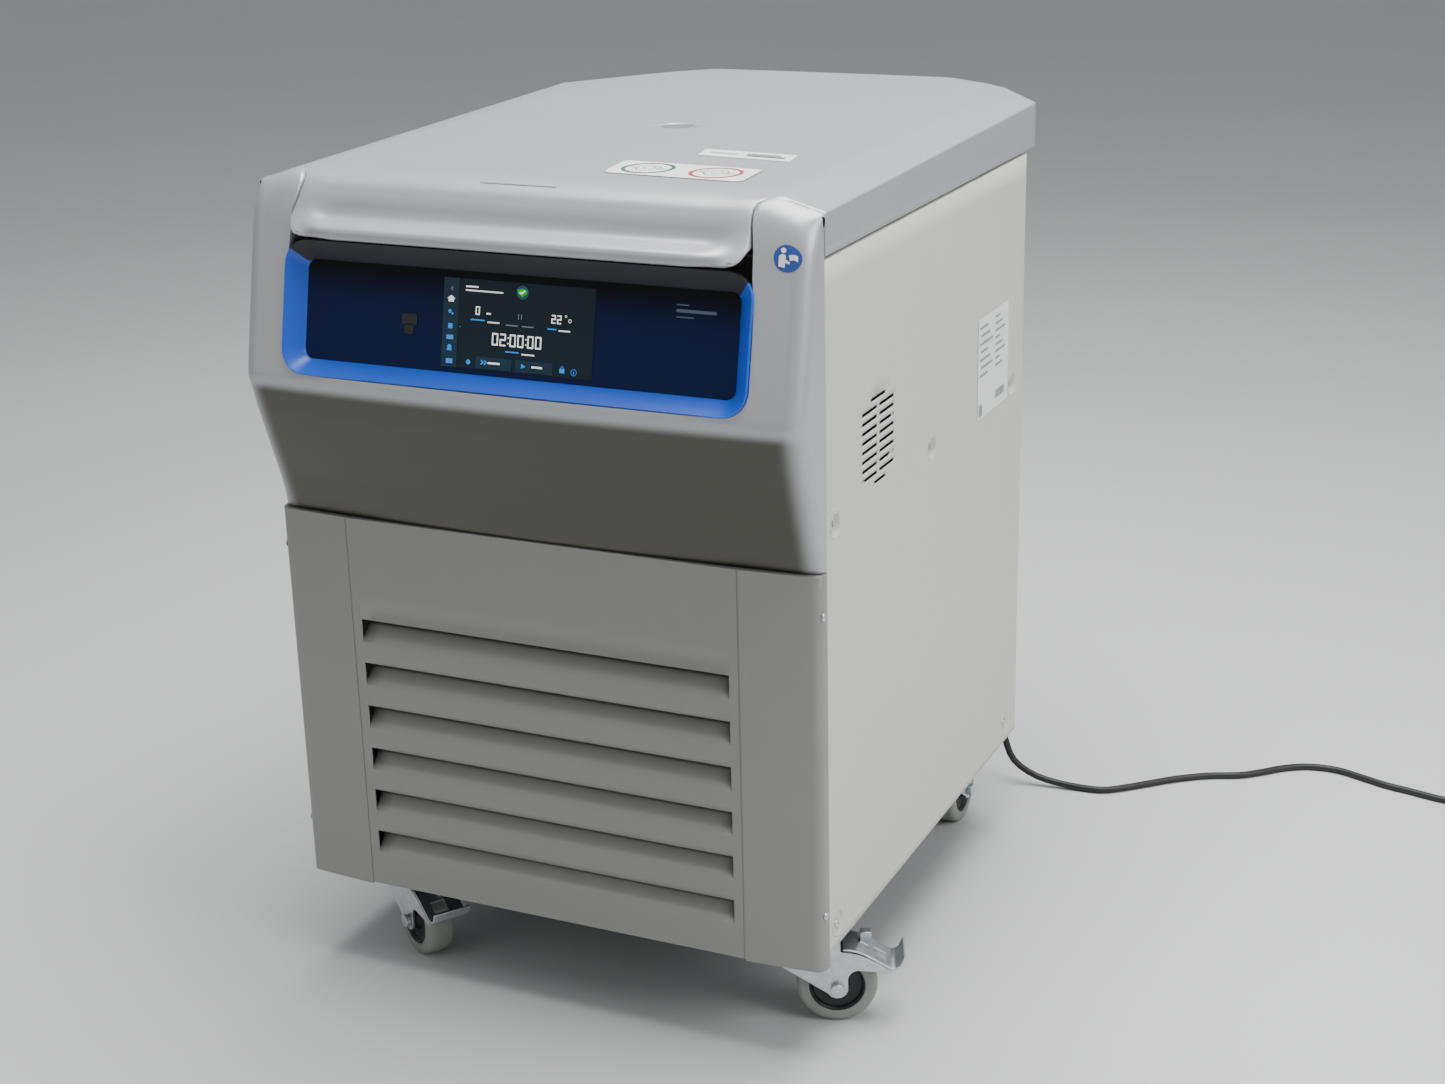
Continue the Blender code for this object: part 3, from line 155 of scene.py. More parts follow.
def grainyFinish(name, colour, roughness, metallic=0.0, grain=1.2, depth=0.03, tint=0.06, coat=0.0, patch=60.0):
    # Shared build-up: a base colour that drifts a little over patch millimetres, and a bump of grain
    # millimetres from the noise. The roughness follows the same drift, so that wide faces aren't dead flat.
    material, tree, shader, spot = startMaterial(name)
    base = hexColour(colour)
    darker = tuple(c * (1 - tint) for c in base[:3]) + (1.0,)
    lighter = tuple(min(1.0, c * (1 + tint)) for c in base[:3]) + (1.0,)
    drift = addNode(tree, "ShaderNodeTexNoise", Vector=spot, Scale=1000 / patch, Detail=4.0, Roughness=0.6)
    tone = addNode(tree, "ShaderNodeMixRGB", Fac=drift.outputs["Fac"], Color1=darker, Color2=lighter)
    fine = addNode(tree, "ShaderNodeTexNoise", Vector=spot, Scale=1000 / grain, Detail=2.0, Roughness=0.5)
    rough = addNode(tree, "ShaderNodeMapRange", Value=drift.outputs["Fac"], To_Min=roughness * 0.9,
                    To_Max=roughness * 1.1)
    bump = addNode(tree, "ShaderNodeBump", Height=fine.outputs["Fac"], Strength=0.6, Distance=depth / 1000)
    tree.links.new(tone.outputs["Color"], shader.inputs["Base Color"])
    tree.links.new(rough.outputs["Result"], shader.inputs["Roughness"])
    tree.links.new(bump.outputs["Normal"], shader.inputs["Normal"])
    shader.inputs["Metallic"].default_value = metallic
    shader.inputs["Coat Weight"].default_value = coat
    shader.inputs["Coat Roughness"].default_value = 0.25
    return material


def satinGreyPowderPaint():
    # Powder-coated steel: a faint orange peel of about 1.5 mm, which breaks up the reflection
    return grainyFinish("satinGreyPowderPaint", "#8c8d89", 0.45, 0.15, grain=1.5, depth=0.05, tint=0.04)


def creamPowderPaint():
    # Off-white powder coat with a finer texture, nearly matt
    return grainyFinish("creamPowderPaint", "#cccdc4", 0.48, 0.0, grain=1.3, depth=0.05, tint=0.025)


def metallicPlastic(name, colour="#b1b2b5", shade=None):
    # Moulded ABS sprayed with a fine silver lacquer: flecks of about 1.5 mm, drawn that coarse to show, lie
    # in a satin film. Where shade is given, the housing's lower face is painted dark olive as painted shade.
    material, tree, shader, spot = startMaterial(name)
    fleck = addNode(tree, "ShaderNodeTexVoronoi", Vector=spot, Scale=1000 / 1.5)
    drift = addNode(tree, "ShaderNodeTexNoise", Vector=spot, Scale=14.0, Detail=3.0)
    base = hexColour(colour)
    light = tuple(min(1.0, c * 1.07) for c in base[:3]) + (1.0,)
    tone = addNode(tree, "ShaderNodeMixRGB", Fac=fleck.outputs["Distance"], Color1=base, Color2=light)
    colourOut = tone.outputs["Color"]
    # Painted shade: below the rim the colour mixes to the dark olive, faded out towards the sides by edge and
    # fade
    if shade:
        parts = addNode(tree, "ShaderNodeSeparateXYZ", Vector=spot)
        low = addNode(tree, "ShaderNodeMapRange", {"interpolation_type": "SMOOTHSTEP"},
                      Value=parts.outputs["Z"], From_Min=shade["top"], From_Max=shade["top"] - shade["soft"],
                      To_Min=0.0, To_Max=1.0)
        away = addNode(tree, "ShaderNodeMath", {"operation": "SUBTRACT"}, _0=parts.outputs["X"], _1=midX)
        side = addNode(tree, "ShaderNodeMath", {"operation": "ABSOLUTE"}, _0=away.outputs["Value"])
        inner = addNode(tree, "ShaderNodeMapRange", {"interpolation_type": "SMOOTHSTEP"},
                        Value=side.outputs["Value"], From_Min=shade["edge"],
                        From_Max=shade["edge"] - shade["fade"], To_Min=0.0, To_Max=1.0)
        paintedShadeMask = addNode(tree, "ShaderNodeMath", {"operation": "MULTIPLY"}, _0=low.outputs["Result"],
                       _1=inner.outputs["Result"])
        paintedShadeMix = addNode(tree, "ShaderNodeMixRGB", Fac=paintedShadeMask.outputs["Value"], Color1=colourOut,
                        Color2=hexColour(shade["colour"]))
        colourOut = paintedShadeMix.outputs["Color"]
    rough = addNode(tree, "ShaderNodeMapRange", Value=drift.outputs["Fac"], To_Min=0.34, To_Max=0.40)
    bump = addNode(tree, "ShaderNodeBump", Height=fleck.outputs["Distance"], Strength=0.25, Distance=0.00002)
    tree.links.new(colourOut, shader.inputs["Base Color"])
    tree.links.new(rough.outputs["Result"], shader.inputs["Roughness"])
    tree.links.new(bump.outputs["Normal"], shader.inputs["Normal"])
    shader.inputs["Metallic"].default_value = 0.35
    shader.inputs["Coat Weight"].default_value = 0.15
    shader.inputs["Coat Roughness"].default_value = 0.3
    return material


def royalBluePlastic():
    # Moulded in colour, satin to glossy, with a soft sink-mark waviness
    return grainyFinish("royalBluePlastic", "#1c5ad4", 0.34, 0.0, grain=6.0, depth=0.02, tint=0.03, coat=0.15)


def navyCoverGlass():
    # Back-printed cover glass: a deep navy that mirrors the room, fading to near black at its top as painted
    # shade under the lid's nose
    material, tree, shader, spot = startMaterial("navyCoverGlass")
    parts = addNode(tree, "ShaderNodeSeparateXYZ", Vector=spot)
    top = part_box("display_glass")[1][2]
    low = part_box("display_glass")[0][2]
    # Painted shade: the upper two fifths of the glass darken towards its top edge
    height = addNode(tree, "ShaderNodeMapRange", {"interpolation_type": "SMOOTHSTEP"}, Value=parts.outputs["Z"],
                     From_Min=low + 0.6 * (top - low), From_Max=top, To_Min=0.0, To_Max=1.0)
    tone = addNode(tree, "ShaderNodeMixRGB", Fac=height.outputs["Result"], Color1=hexColour("#0f1d46"),
                   Color2=hexColour("#04060c"))
    tree.links.new(tone.outputs["Color"], shader.inputs["Base Color"])
    shader.inputs["Roughness"].default_value = 0.12
    shader.inputs["Specular IOR Level"].default_value = 0.07
    return material


def litSegments(name, colour, glow=0.5):
    # What the display shows: its own colour, a little of its own light, and the cover glass's gloss
    material, _, shader, _ = startMaterial(name)
    shader.inputs["Base Color"].default_value = hexColour(colour)
    shader.inputs["Emission Color"].default_value = hexColour(colour)
    shader.inputs["Emission Strength"].default_value = glow
    shader.inputs["Roughness"].default_value = 0.15
    shader.inputs["Specular IOR Level"].default_value = 0.12
    return material


def zincPlate():
    # Blue-white passivated zinc on pressed steel: cloudy spangle of some 8 mm and fine scratches
    material, tree, shader, spot = startMaterial("zincPlate")
    cloud = addNode(tree, "ShaderNodeTexNoise", Vector=spot, Scale=120.0, Detail=5.0, Roughness=0.65)
    tone = addNode(tree, "ShaderNodeMixRGB", Fac=cloud.outputs["Fac"], Color1=hexColour("#a3abb0"),
                   Color2=hexColour("#e3e8ea"))
    rough = addNode(tree, "ShaderNodeMapRange", Value=cloud.outputs["Fac"], To_Min=0.2, To_Max=0.42)
    scratch = addNode(tree, "ShaderNodeTexNoise", Vector=spot, Scale=900.0, Detail=2.0)
    bump = addNode(tree, "ShaderNodeBump", Height=scratch.outputs["Fac"], Strength=0.3, Distance=0.00002)
    tree.links.new(tone.outputs["Color"], shader.inputs["Base Color"])
    tree.links.new(rough.outputs["Result"], shader.inputs["Roughness"])
    tree.links.new(bump.outputs["Normal"], shader.inputs["Normal"])
    shader.inputs["Metallic"].default_value = 0.9
    return material


def greyTyreRubber():
    # Non-marking rubber: matt grey, dusty where it has rolled
    return grainyFinish("greyTyreRubber", "#8b8d88", 0.72, 0.0, grain=1.6, depth=0.12, tint=0.16, patch=14.0)


def blackNylon():
    # Injection-moulded hubs with a fine, evenly dull skin
    return grainyFinish("blackNylon", "#151618", 0.45, 0.0, grain=1.0, depth=0.03, tint=0.1, patch=20.0)


def blackMoulding():
    # Textured moulding: plug, switch, gland, fan, and the screen frame's top band, where it is partly painted
    # shade
    return grainyFinish("blackMoulding", "#1b1c1e", 0.5, 0.0, grain=1.0, depth=0.04, tint=0.1, patch=25.0)


def cordSheath():
    # Extruded rubber sheath, satin, with faint draw lines
    return grainyFinish("cordSheath", "#18181a", 0.46, 0.0, grain=2.0, depth=0.05, tint=0.12, patch=18.0)


def stainlessSteel():
    # Spun stainless sheet: fine rings round its axis, stretched along the height
    material, tree, shader, spot = startMaterial("stainlessSteel")
    scale = addNode(tree, "ShaderNodeMapping", Vector=spot, Scale=(40.0, 40.0, 1400.0))
    line = addNode(tree, "ShaderNodeTexNoise", Vector=scale.outputs["Vector"], Scale=1.0, Detail=3.0)
    tone = addNode(tree, "ShaderNodeMixRGB", Fac=line.outputs["Fac"], Color1=hexColour("#a9aaa8"),
                   Color2=hexColour("#cccccb"))
    rough = addNode(tree, "ShaderNodeMapRange", Value=line.outputs["Fac"], To_Min=0.22, To_Max=0.38)
    tree.links.new(tone.outputs["Color"], shader.inputs["Base Color"])
    tree.links.new(rough.outputs["Result"], shader.inputs["Roughness"])
    shader.inputs["Metallic"].default_value = 1.0
    return material


def anodisedAluminium():
    # Turned and clear-anodised: bright, with a soft sheen and 1 mm tool marks
    return grainyFinish("anodisedAluminium", "#bcbec2", 0.34, 0.95, grain=1.0, depth=0.02, tint=0.05,
                        patch=30.0)


def blackEnamel():
    # Dipped enamel on frames and housings, a little thick and glossy
    return grainyFinish("blackEnamel", "#1f2022", 0.35, 0.1, grain=2.5, depth=0.08, tint=0.12, coat=0.2)


def sealRubber():
    # Matt extruded seal round the chamber
    return grainyFinish("sealRubber", "#161616", 0.8, 0.0, grain=0.9, depth=0.05, tint=0.1)


def clearAcrylic():
    # Clear cast plug seen against the dark chamber: pale grey with polished faces
    material, _, shader, _ = startMaterial("clearAcrylic")
    shader.inputs["Base Color"].default_value = hexColour("#c3c7c9")
    shader.inputs["Roughness"].default_value = 0.06
    shader.inputs["Transmission Weight"].default_value = 0.6
    shader.inputs["IOR"].default_value = 1.49
    return material


def printedFilm(name, colour):
    # Self-adhesive polyester label: even ink under a satin film
    return grainyFinish(name, colour, 0.4, 0.0, grain=2.0, depth=0.01, tint=0.015)


finishes = {
    "grey": satinGreyPowderPaint(), "cream": creamPowderPaint(),
    "silver": metallicPlastic("silverLacqueredPlastic"),
    # The console's lower face carries painted shade in a dark olive, not a colour of its own
    "console": metallicPlastic("silverConsolePlastic", shade={
        "top": 0.6385, "soft": 0.014, "edge": 0.2885, "fade": 0.026, "colour": "#48473f"}),
    "blue": royalBluePlastic(), "glass": navyCoverGlass(), "zinc": zincPlate(), "tyre": greyTyreRubber(),
    "nylon": blackNylon(), "black": blackMoulding(), "cord": cordSheath(), "steel": stainlessSteel(),
    "aluminium": anodisedAluminium(), "enamel": blackEnamel(), "seal": sealRubber(), "acrylic": clearAcrylic(),
    "white": printedFilm("whiteLabelFilm", "#eef0ef"), "greenInk": printedFilm("greenRingInk", "#2c6b50"),
    "redInk": printedFilm("redRingInk", "#b23a47"), "greyInk": printedFilm("greyPrintInk", "#8f9396"),
    "blueInk": printedFilm("blueDiscInk", "#2c4c9b"),
}
print("materials are made:", len(finishes))

# Building pieces from grids

def newPiece(name, points, faces, finish, body, nodes=(), wall=0.0, sharp=35, bevel=0.0):
    # A mesh from point and face arrays, merged where points meet, on its body and in place of CAD nodes.
    mesh = bpy.data.meshes.new(name)
    mesh.from_pydata((np.asarray(points, float).reshape(-1, 3) + shift).tolist(), [],
                     np.asarray(faces).tolist())
    bm = bmesh.new()
    bm.from_mesh(mesh)
    bmesh.ops.remove_doubles(bm, verts=bm.verts, dist=1e-6)
    bmesh.ops.dissolve_degenerate(bm, dist=1e-7, edges=bm.edges)
    bm.to_mesh(mesh)
    bm.free()
    mesh.shade_smooth()
    mesh.set_sharp_from_angle(angle=math.radians(sharp))
    piece = bpy.data.objects.new(name, mesh)
    bpy.context.scene.collection.objects.link(piece)
    mesh.materials.append(finishes[finish])
    if wall:
        solid = piece.modifiers.new("wall", "SOLIDIFY")
        solid.thickness = wall
        solid.offset = -1
    if bevel:
        edge = piece.modifiers.new("edge", "BEVEL")
        edge.width = bevel
        edge.segments = 2
        edge.limit_method = "ANGLE"
        edge.angle_limit = math.radians(40)
    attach(piece, body)
    if nodes:
        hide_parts(*nodes)
    return piece


def gridFaces(rows, columns, keep=None, wrap=False, start=0):
    # Quads between neighbouring rows and columns of a grid, with wrap joining the last column to the first
    index = np.arange(rows * columns).reshape(rows, columns) + start
    if wrap:
        index = np.concatenate([index, index[:, :1]], axis=1)
    quads = np.stack([index[:-1, :-1], index[:-1, 1:], index[1:, 1:], index[1:, :-1]], axis=-1)
    return quads[keep] if keep is not None else quads.reshape(-1, 4)


def latheGrid(profile, steps, place):
    # Profile (radius, height) turned about the axis of a 4x4 place: x and y are radius times cosine and sine.
    angle = np.linspace(0, math.tau, steps, endpoint=False)
    radius, height = np.asarray(profile, float).T
    local = np.stack([radius[:, None] * np.cos(angle), radius[:, None] * np.sin(angle),
                      height[:, None] * np.ones(steps), np.ones((len(radius), steps))], axis=-1)
    return (local @ np.asarray(place, float).T)[..., :3]


def rounded(points, radius, steps=4):
    # Polyline with each inner corner replaced by an arc-like curve that starts radius away from the corner
    points = np.asarray(points, float)
    out = [points[:1]]
    for before, corner, after in zip(points, points[1:], points[2:]):
        near = min(radius, 0.45 * np.linalg.norm(before - corner), 0.45 * np.linalg.norm(after - corner))
        a = corner + (before - corner) / np.linalg.norm(before - corner) * near
        b = corner + (after - corner) / np.linalg.norm(after - corner) * near
        t = np.linspace(0, 1, steps)[:, None]
        out.append((1 - t) ** 2 * a + 2 * t * (1 - t) * corner + t ** 2 * b)
    return np.concatenate(out + [points[-1:]])


def along(points, count):
    # Points at even steps along a polyline
    points = np.asarray(points, float)
    reach = np.concatenate([[0], np.cumsum(np.linalg.norm(np.diff(points, axis=0), axis=1))])
    at = np.linspace(0, reach[-1], count)
    return np.stack([np.interp(at, reach, points[:, i]) for i in range(points.shape[1])], axis=-1)


def punchHole(sheet, axes, centre, radius, keep):
    # Leaves out the cells whose middle lies in the circle, and draws the points round them onto its rim
    flat = sheet[..., axes] - np.asarray(centre)
    away = np.hypot(flat[..., 0], flat[..., 1])
    inside = (away[:-1, :-1] + away[1:, :-1] + away[1:, 1:] + away[:-1, 1:]) / 4 < radius
    count = np.zeros(away.shape, int)
    for i, j in ((0, 0), (1, 0), (1, 1), (0, 1)):
        count[i:i + inside.shape[0], j:j + inside.shape[1]] += inside
    rim = (count > 0) & (count < 4)
    spots = sheet[rim]
    spots[:, axes] = np.asarray(centre) + flat[rim] / away[rim][:, None] * radius
    sheet[rim] = spots
    return keep & ~inside


def smoothStep(value, low, high):
    t = np.clip((value - low) / (high - low), 0, 1)
    return t * t * (3 - 2 * t)


def bevelledCopy(node, finish, width, second=None, body=None):
    # The CAD solid's own shape with its edges broken, and with a second finish where the test says so
    source = frame["nodes"][node]
    mesh = source.data.copy()
    mesh.name = node + "_skin"
    bm = bmesh.new()
    bm.from_mesh(mesh)
    bmesh.ops.remove_doubles(bm, verts=bm.verts, dist=1e-6)
    bmesh.ops.dissolve_limit(bm, angle_limit=math.radians(0.6), verts=bm.verts, edges=bm.edges)
    mesh.materials.clear()
    mesh.materials.append(finishes[finish])
    if second:
        mesh.materials.append(finishes[second[0]])
    for face in bm.faces:
        face.material_index = int(bool(second) and second[1](face.calc_center_median() - Vector(shift),
                                                             face.normal))
    bm.to_mesh(mesh)
    bm.free()
    mesh.shade_smooth()
    mesh.set_sharp_from_angle(angle=math.radians(32))
    piece = bpy.data.objects.new(node + "_skin", mesh)
    bpy.context.scene.collection.objects.link(piece)
    if width:
        edge = piece.modifiers.new("edge", "BEVEL")
        edge.width = width
        edge.segments = 2
        edge.limit_method = "ANGLE"
        edge.angle_limit = math.radians(32)
    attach(piece, body or bodyOf[node])
    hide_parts(node)
    return piece


bodyOf = {node: body for body, held in frame["record"]["behaviour"]["bodies"].items() for node in held}

# The mains lead comes first, then the cabinet.
cord = {"radius": 0.004, "start": (0.235, 0.6268, 0.155), "coilCentre": (0.850, 0.775),
        "turnRadii": (0.052, 0.044, 0.036), "layer": 0.0082, "plugEntry": (0.890, 0.7155, 0.0092),
        "plugTip": 0.042, "turnPoints": 26, "tieAt": 205}


def cordRoute():
    # Catmull-Rom curve through the same points as the CAD's lead, then three turns in, up a layer and out again
    hand = np.array([
        cord["start"], (0.2352, 0.640, 0.1535), (0.2365, 0.658, 0.1420), (0.2385, 0.670, 0.1180),
        (0.2420, 0.6760, 0.0880), (0.2480, 0.6780, 0.0560), (0.2600, 0.6780, 0.0290), (0.2880, 0.6800, 0.0120),
        (0.3260, 0.6830, 0.0052), (0.3644, 0.6870, 0.0040), (0.3872, 0.7018, 0.0040), (0.4104, 0.7232, 0.0040),
        (0.4409, 0.7513, 0.0040), (0.4733, 0.7737, 0.0040), (0.5076, 0.7890, 0.0040), (0.5290, 0.8060, 0.0040),
        (0.5542, 0.8300, 0.0040), (0.5813, 0.8450, 0.0040), (0.6143, 0.8475, 0.0040), (0.6456, 0.8370, 0.0040),
        (0.6765, 0.8255, 0.0040), (0.7022, 0.8200, 0.0040), (0.7470, 0.8100, 0.0040), (0.7800, 0.8150, 0.0040),
        (0.8120, 0.8300, 0.0040), (0.8400, 0.8358, 0.0040)])
    ends = np.concatenate([[2 * hand[0] - hand[1]], hand, [2 * hand[-1] - hand[-2]]])
    t = np.linspace(0, 1, 3, endpoint=False)[None, :, None]
    a, b, c, d = (ends[i:len(ends) - 3 + i, None, :] for i in range(4))
    run = 0.5 * (2 * b + (c - a) * t + (2 * a - 5 * b + 4 * c - d) * t ** 2 + (3 * b - 3 * c + d - a) * t ** 3)
    turn = np.linspace(0.07, 5.24, int(5.2 * cord["turnPoints"]))
    # The first turn starts at the run's end, so its radius eases in from the run's own distance.
    inward = np.minimum(2, np.floor(turn) + smoothStep(turn % 1, 0.50, 1.0))
    outward = np.minimum(2, np.floor(turn - 3) + smoothStep(turn % 1, 0.50, 1.0))
    step = np.where(turn < 3, inward, 2 - outward)
    radius = cord["turnRadii"][0] - step * 2 * cord["radius"] + 0.0096 * (1 - smoothStep(turn, 0.0, 0.42))
    angle = math.radians(99.3) - math.tau * turn
    height = cord["radius"] + cord["layer"] * smoothStep(turn, 2.60, 3.15)
    coil = np.stack([cord["coilCentre"][0] + radius * np.cos(angle),
                     cord["coilCentre"][1] + radius * np.sin(angle), height], -1)
    last = coil[-1]
    end = np.array(cord["plugEntry"])
    away = np.array([math.sin(angle[-1]), -math.cos(angle[-1]), 0.0])
    t = np.linspace(0.12, 1, 10)[:, None]
    reach = np.linalg.norm(end - last)
    pull = np.array([0.0, -1.0, 0.0])
    tail = ((1 - t) ** 3 * last + 3 * (1 - t) ** 2 * t * (last + away * reach / 3) + 3 * (1 - t) * t ** 2
            * (end - pull * reach / 3)
            + t ** 3 * end)
    return np.concatenate([run.reshape(-1, 3), hand[-1:], coil, tail])


def makeCord():
    route = cordRoute() + shift
    curve = bpy.data.curves.new("mains_lead", "CURVE")
    curve.dimensions = "3D"
    curve.bevel_depth = cord["radius"]
    curve.bevel_resolution = 4
    curve.use_fill_caps = True
    spline = curve.splines.new("POLY")
    spline.points.add(len(route) - 1)
    spline.points.foreach_set("co", np.concatenate([route, np.ones((len(route), 1))], axis=1).ravel())
    spline.use_smooth = True
    lead = bpy.data.objects.new("mains_lead", curve)
    curve.materials.append(finishes["cord"])
    bpy.context.scene.collection.objects.link(lead)
    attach(lead, "machine")
    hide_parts("cord_run", "cord_coil")
    tip = cord["plugEntry"][1] - cord["plugTip"]
    plug = bevelledCopy("mains_plug", "black", 0.0012,
                        second=("zinc", lambda p, n: p.y < tip - 0.002))
    # The tie is a flat band: a rounded rectangle round the six strands, swept along a short arc of the coil
    turn = math.radians(cord["tieAt"])
    loop = rounded(np.array([(0.044, 0.0003), (0.0577, 0.0003), (0.0577, 0.0169), (0.0303, 0.0169),
                             (0.0303, 0.0003), (0.044, 0.0003)]), 0.004)
    angle = turn + np.array([-0.11, 0.11])[:, None]
    band = np.stack([cord["coilCentre"][0] + loop[:, 0] * np.cos(angle),
                     cord["coilCentre"][1] + loop[:, 0] * np.sin(angle), loop[:, 1] * np.ones((2, 1))], -1)
    tie = newPiece("lead_tie", band, gridFaces(2, len(loop)), "black", "machine", wall=0.0006)


makeCord()

lid = {"front": 0.0237, "back": 0.745, "sideEnd": 0.620, "chamferY": 0.715, "chamferHalf": 0.2227,
       "backHalf": 0.190, "skirt": 0.7795, "edgeFront": 0.8169, "edgeBack": 0.8266, "slope": 0.045,
       "radius": 0.0022, "wall": 0.003, "noseHalf": 0.2400, "groove": (0.192, 0.219), "portRadius": 0.0165,
       "wingStart": 0.2250, "gripHalf": 0.2282, "edgeSoftness": 0.012,
       # Crown height along the depth
       "crownY": (0.0237, 0.030, 0.037, 0.045, 0.10, 0.62),
       "crownZ": (0.8277, 0.8292, 0.8299, 0.8303, 0.8309, 0.8318),
       # Half-width of the nose at each height
       "noseZ": (0.7735, 0.7760, 0.7810, 0.7882, 0.7985, 0.8084, 0.8196, 0.8240, 0.8268, 0.8277),
       "noseReach": (0.2105, 0.2190, 0.2255, 0.2295, 0.2285, 0.2268, 0.2258, 0.2275, 0.2330, 0.2400),
       # Sections (depth, height) of the nose: with the finger ledge in the middle, and plain at the ends
       "ledge": ((0.012, 0.7735), (-0.0275, 0.7735), (-0.0290, 0.7760), (-0.0290, 0.7828), (-0.0255, 0.7856),
                 (-0.0085, 0.7905), (-0.0035, 0.7960), (-0.0015, 0.8075), (0.0065, 0.8190), (0.0150, 0.8247),
                 (0.0237, 0.8277)),
       "plain": ((0.012, 0.7735), (-0.0225, 0.7735), (-0.0265, 0.7760), (-0.0215, 0.7822), (-0.0125, 0.7922),
                 (-0.0060, 0.8012), (0.0002, 0.8118), (0.0075, 0.8206), (0.0155, 0.8260), (0.0237, 0.8277)),
       # The point inside the nose that its ends close towards
       "noseCore": (0.012, 0.790)}


def lidTop(x, y):
    # Height of the lid: a flat crown that rolls down at the front, and falls to the side edges over the slope's
    # width
    crown = np.interp(y, lid["crownY"], lid["crownZ"])
    edge = np.interp(y, [lid["front"], lid["sideEnd"]], [lid["edgeFront"], lid["edgeBack"]])
    half = lidHalf(y)
    t = (np.abs(x) - (half - lid["slope"])) / lid["slope"]
    return crown - (crown - edge) * (t + np.sqrt(t * t + lid["edgeSoftness"])) / 2 - 0.0004 * (x / half) ** 2


def lidHalf(y):
    return np.interp(y, [lid["sideEnd"], lid["chamferY"], lid["back"]],
                     [halfWidth, lid["chamferHalf"], lid["backHalf"]])


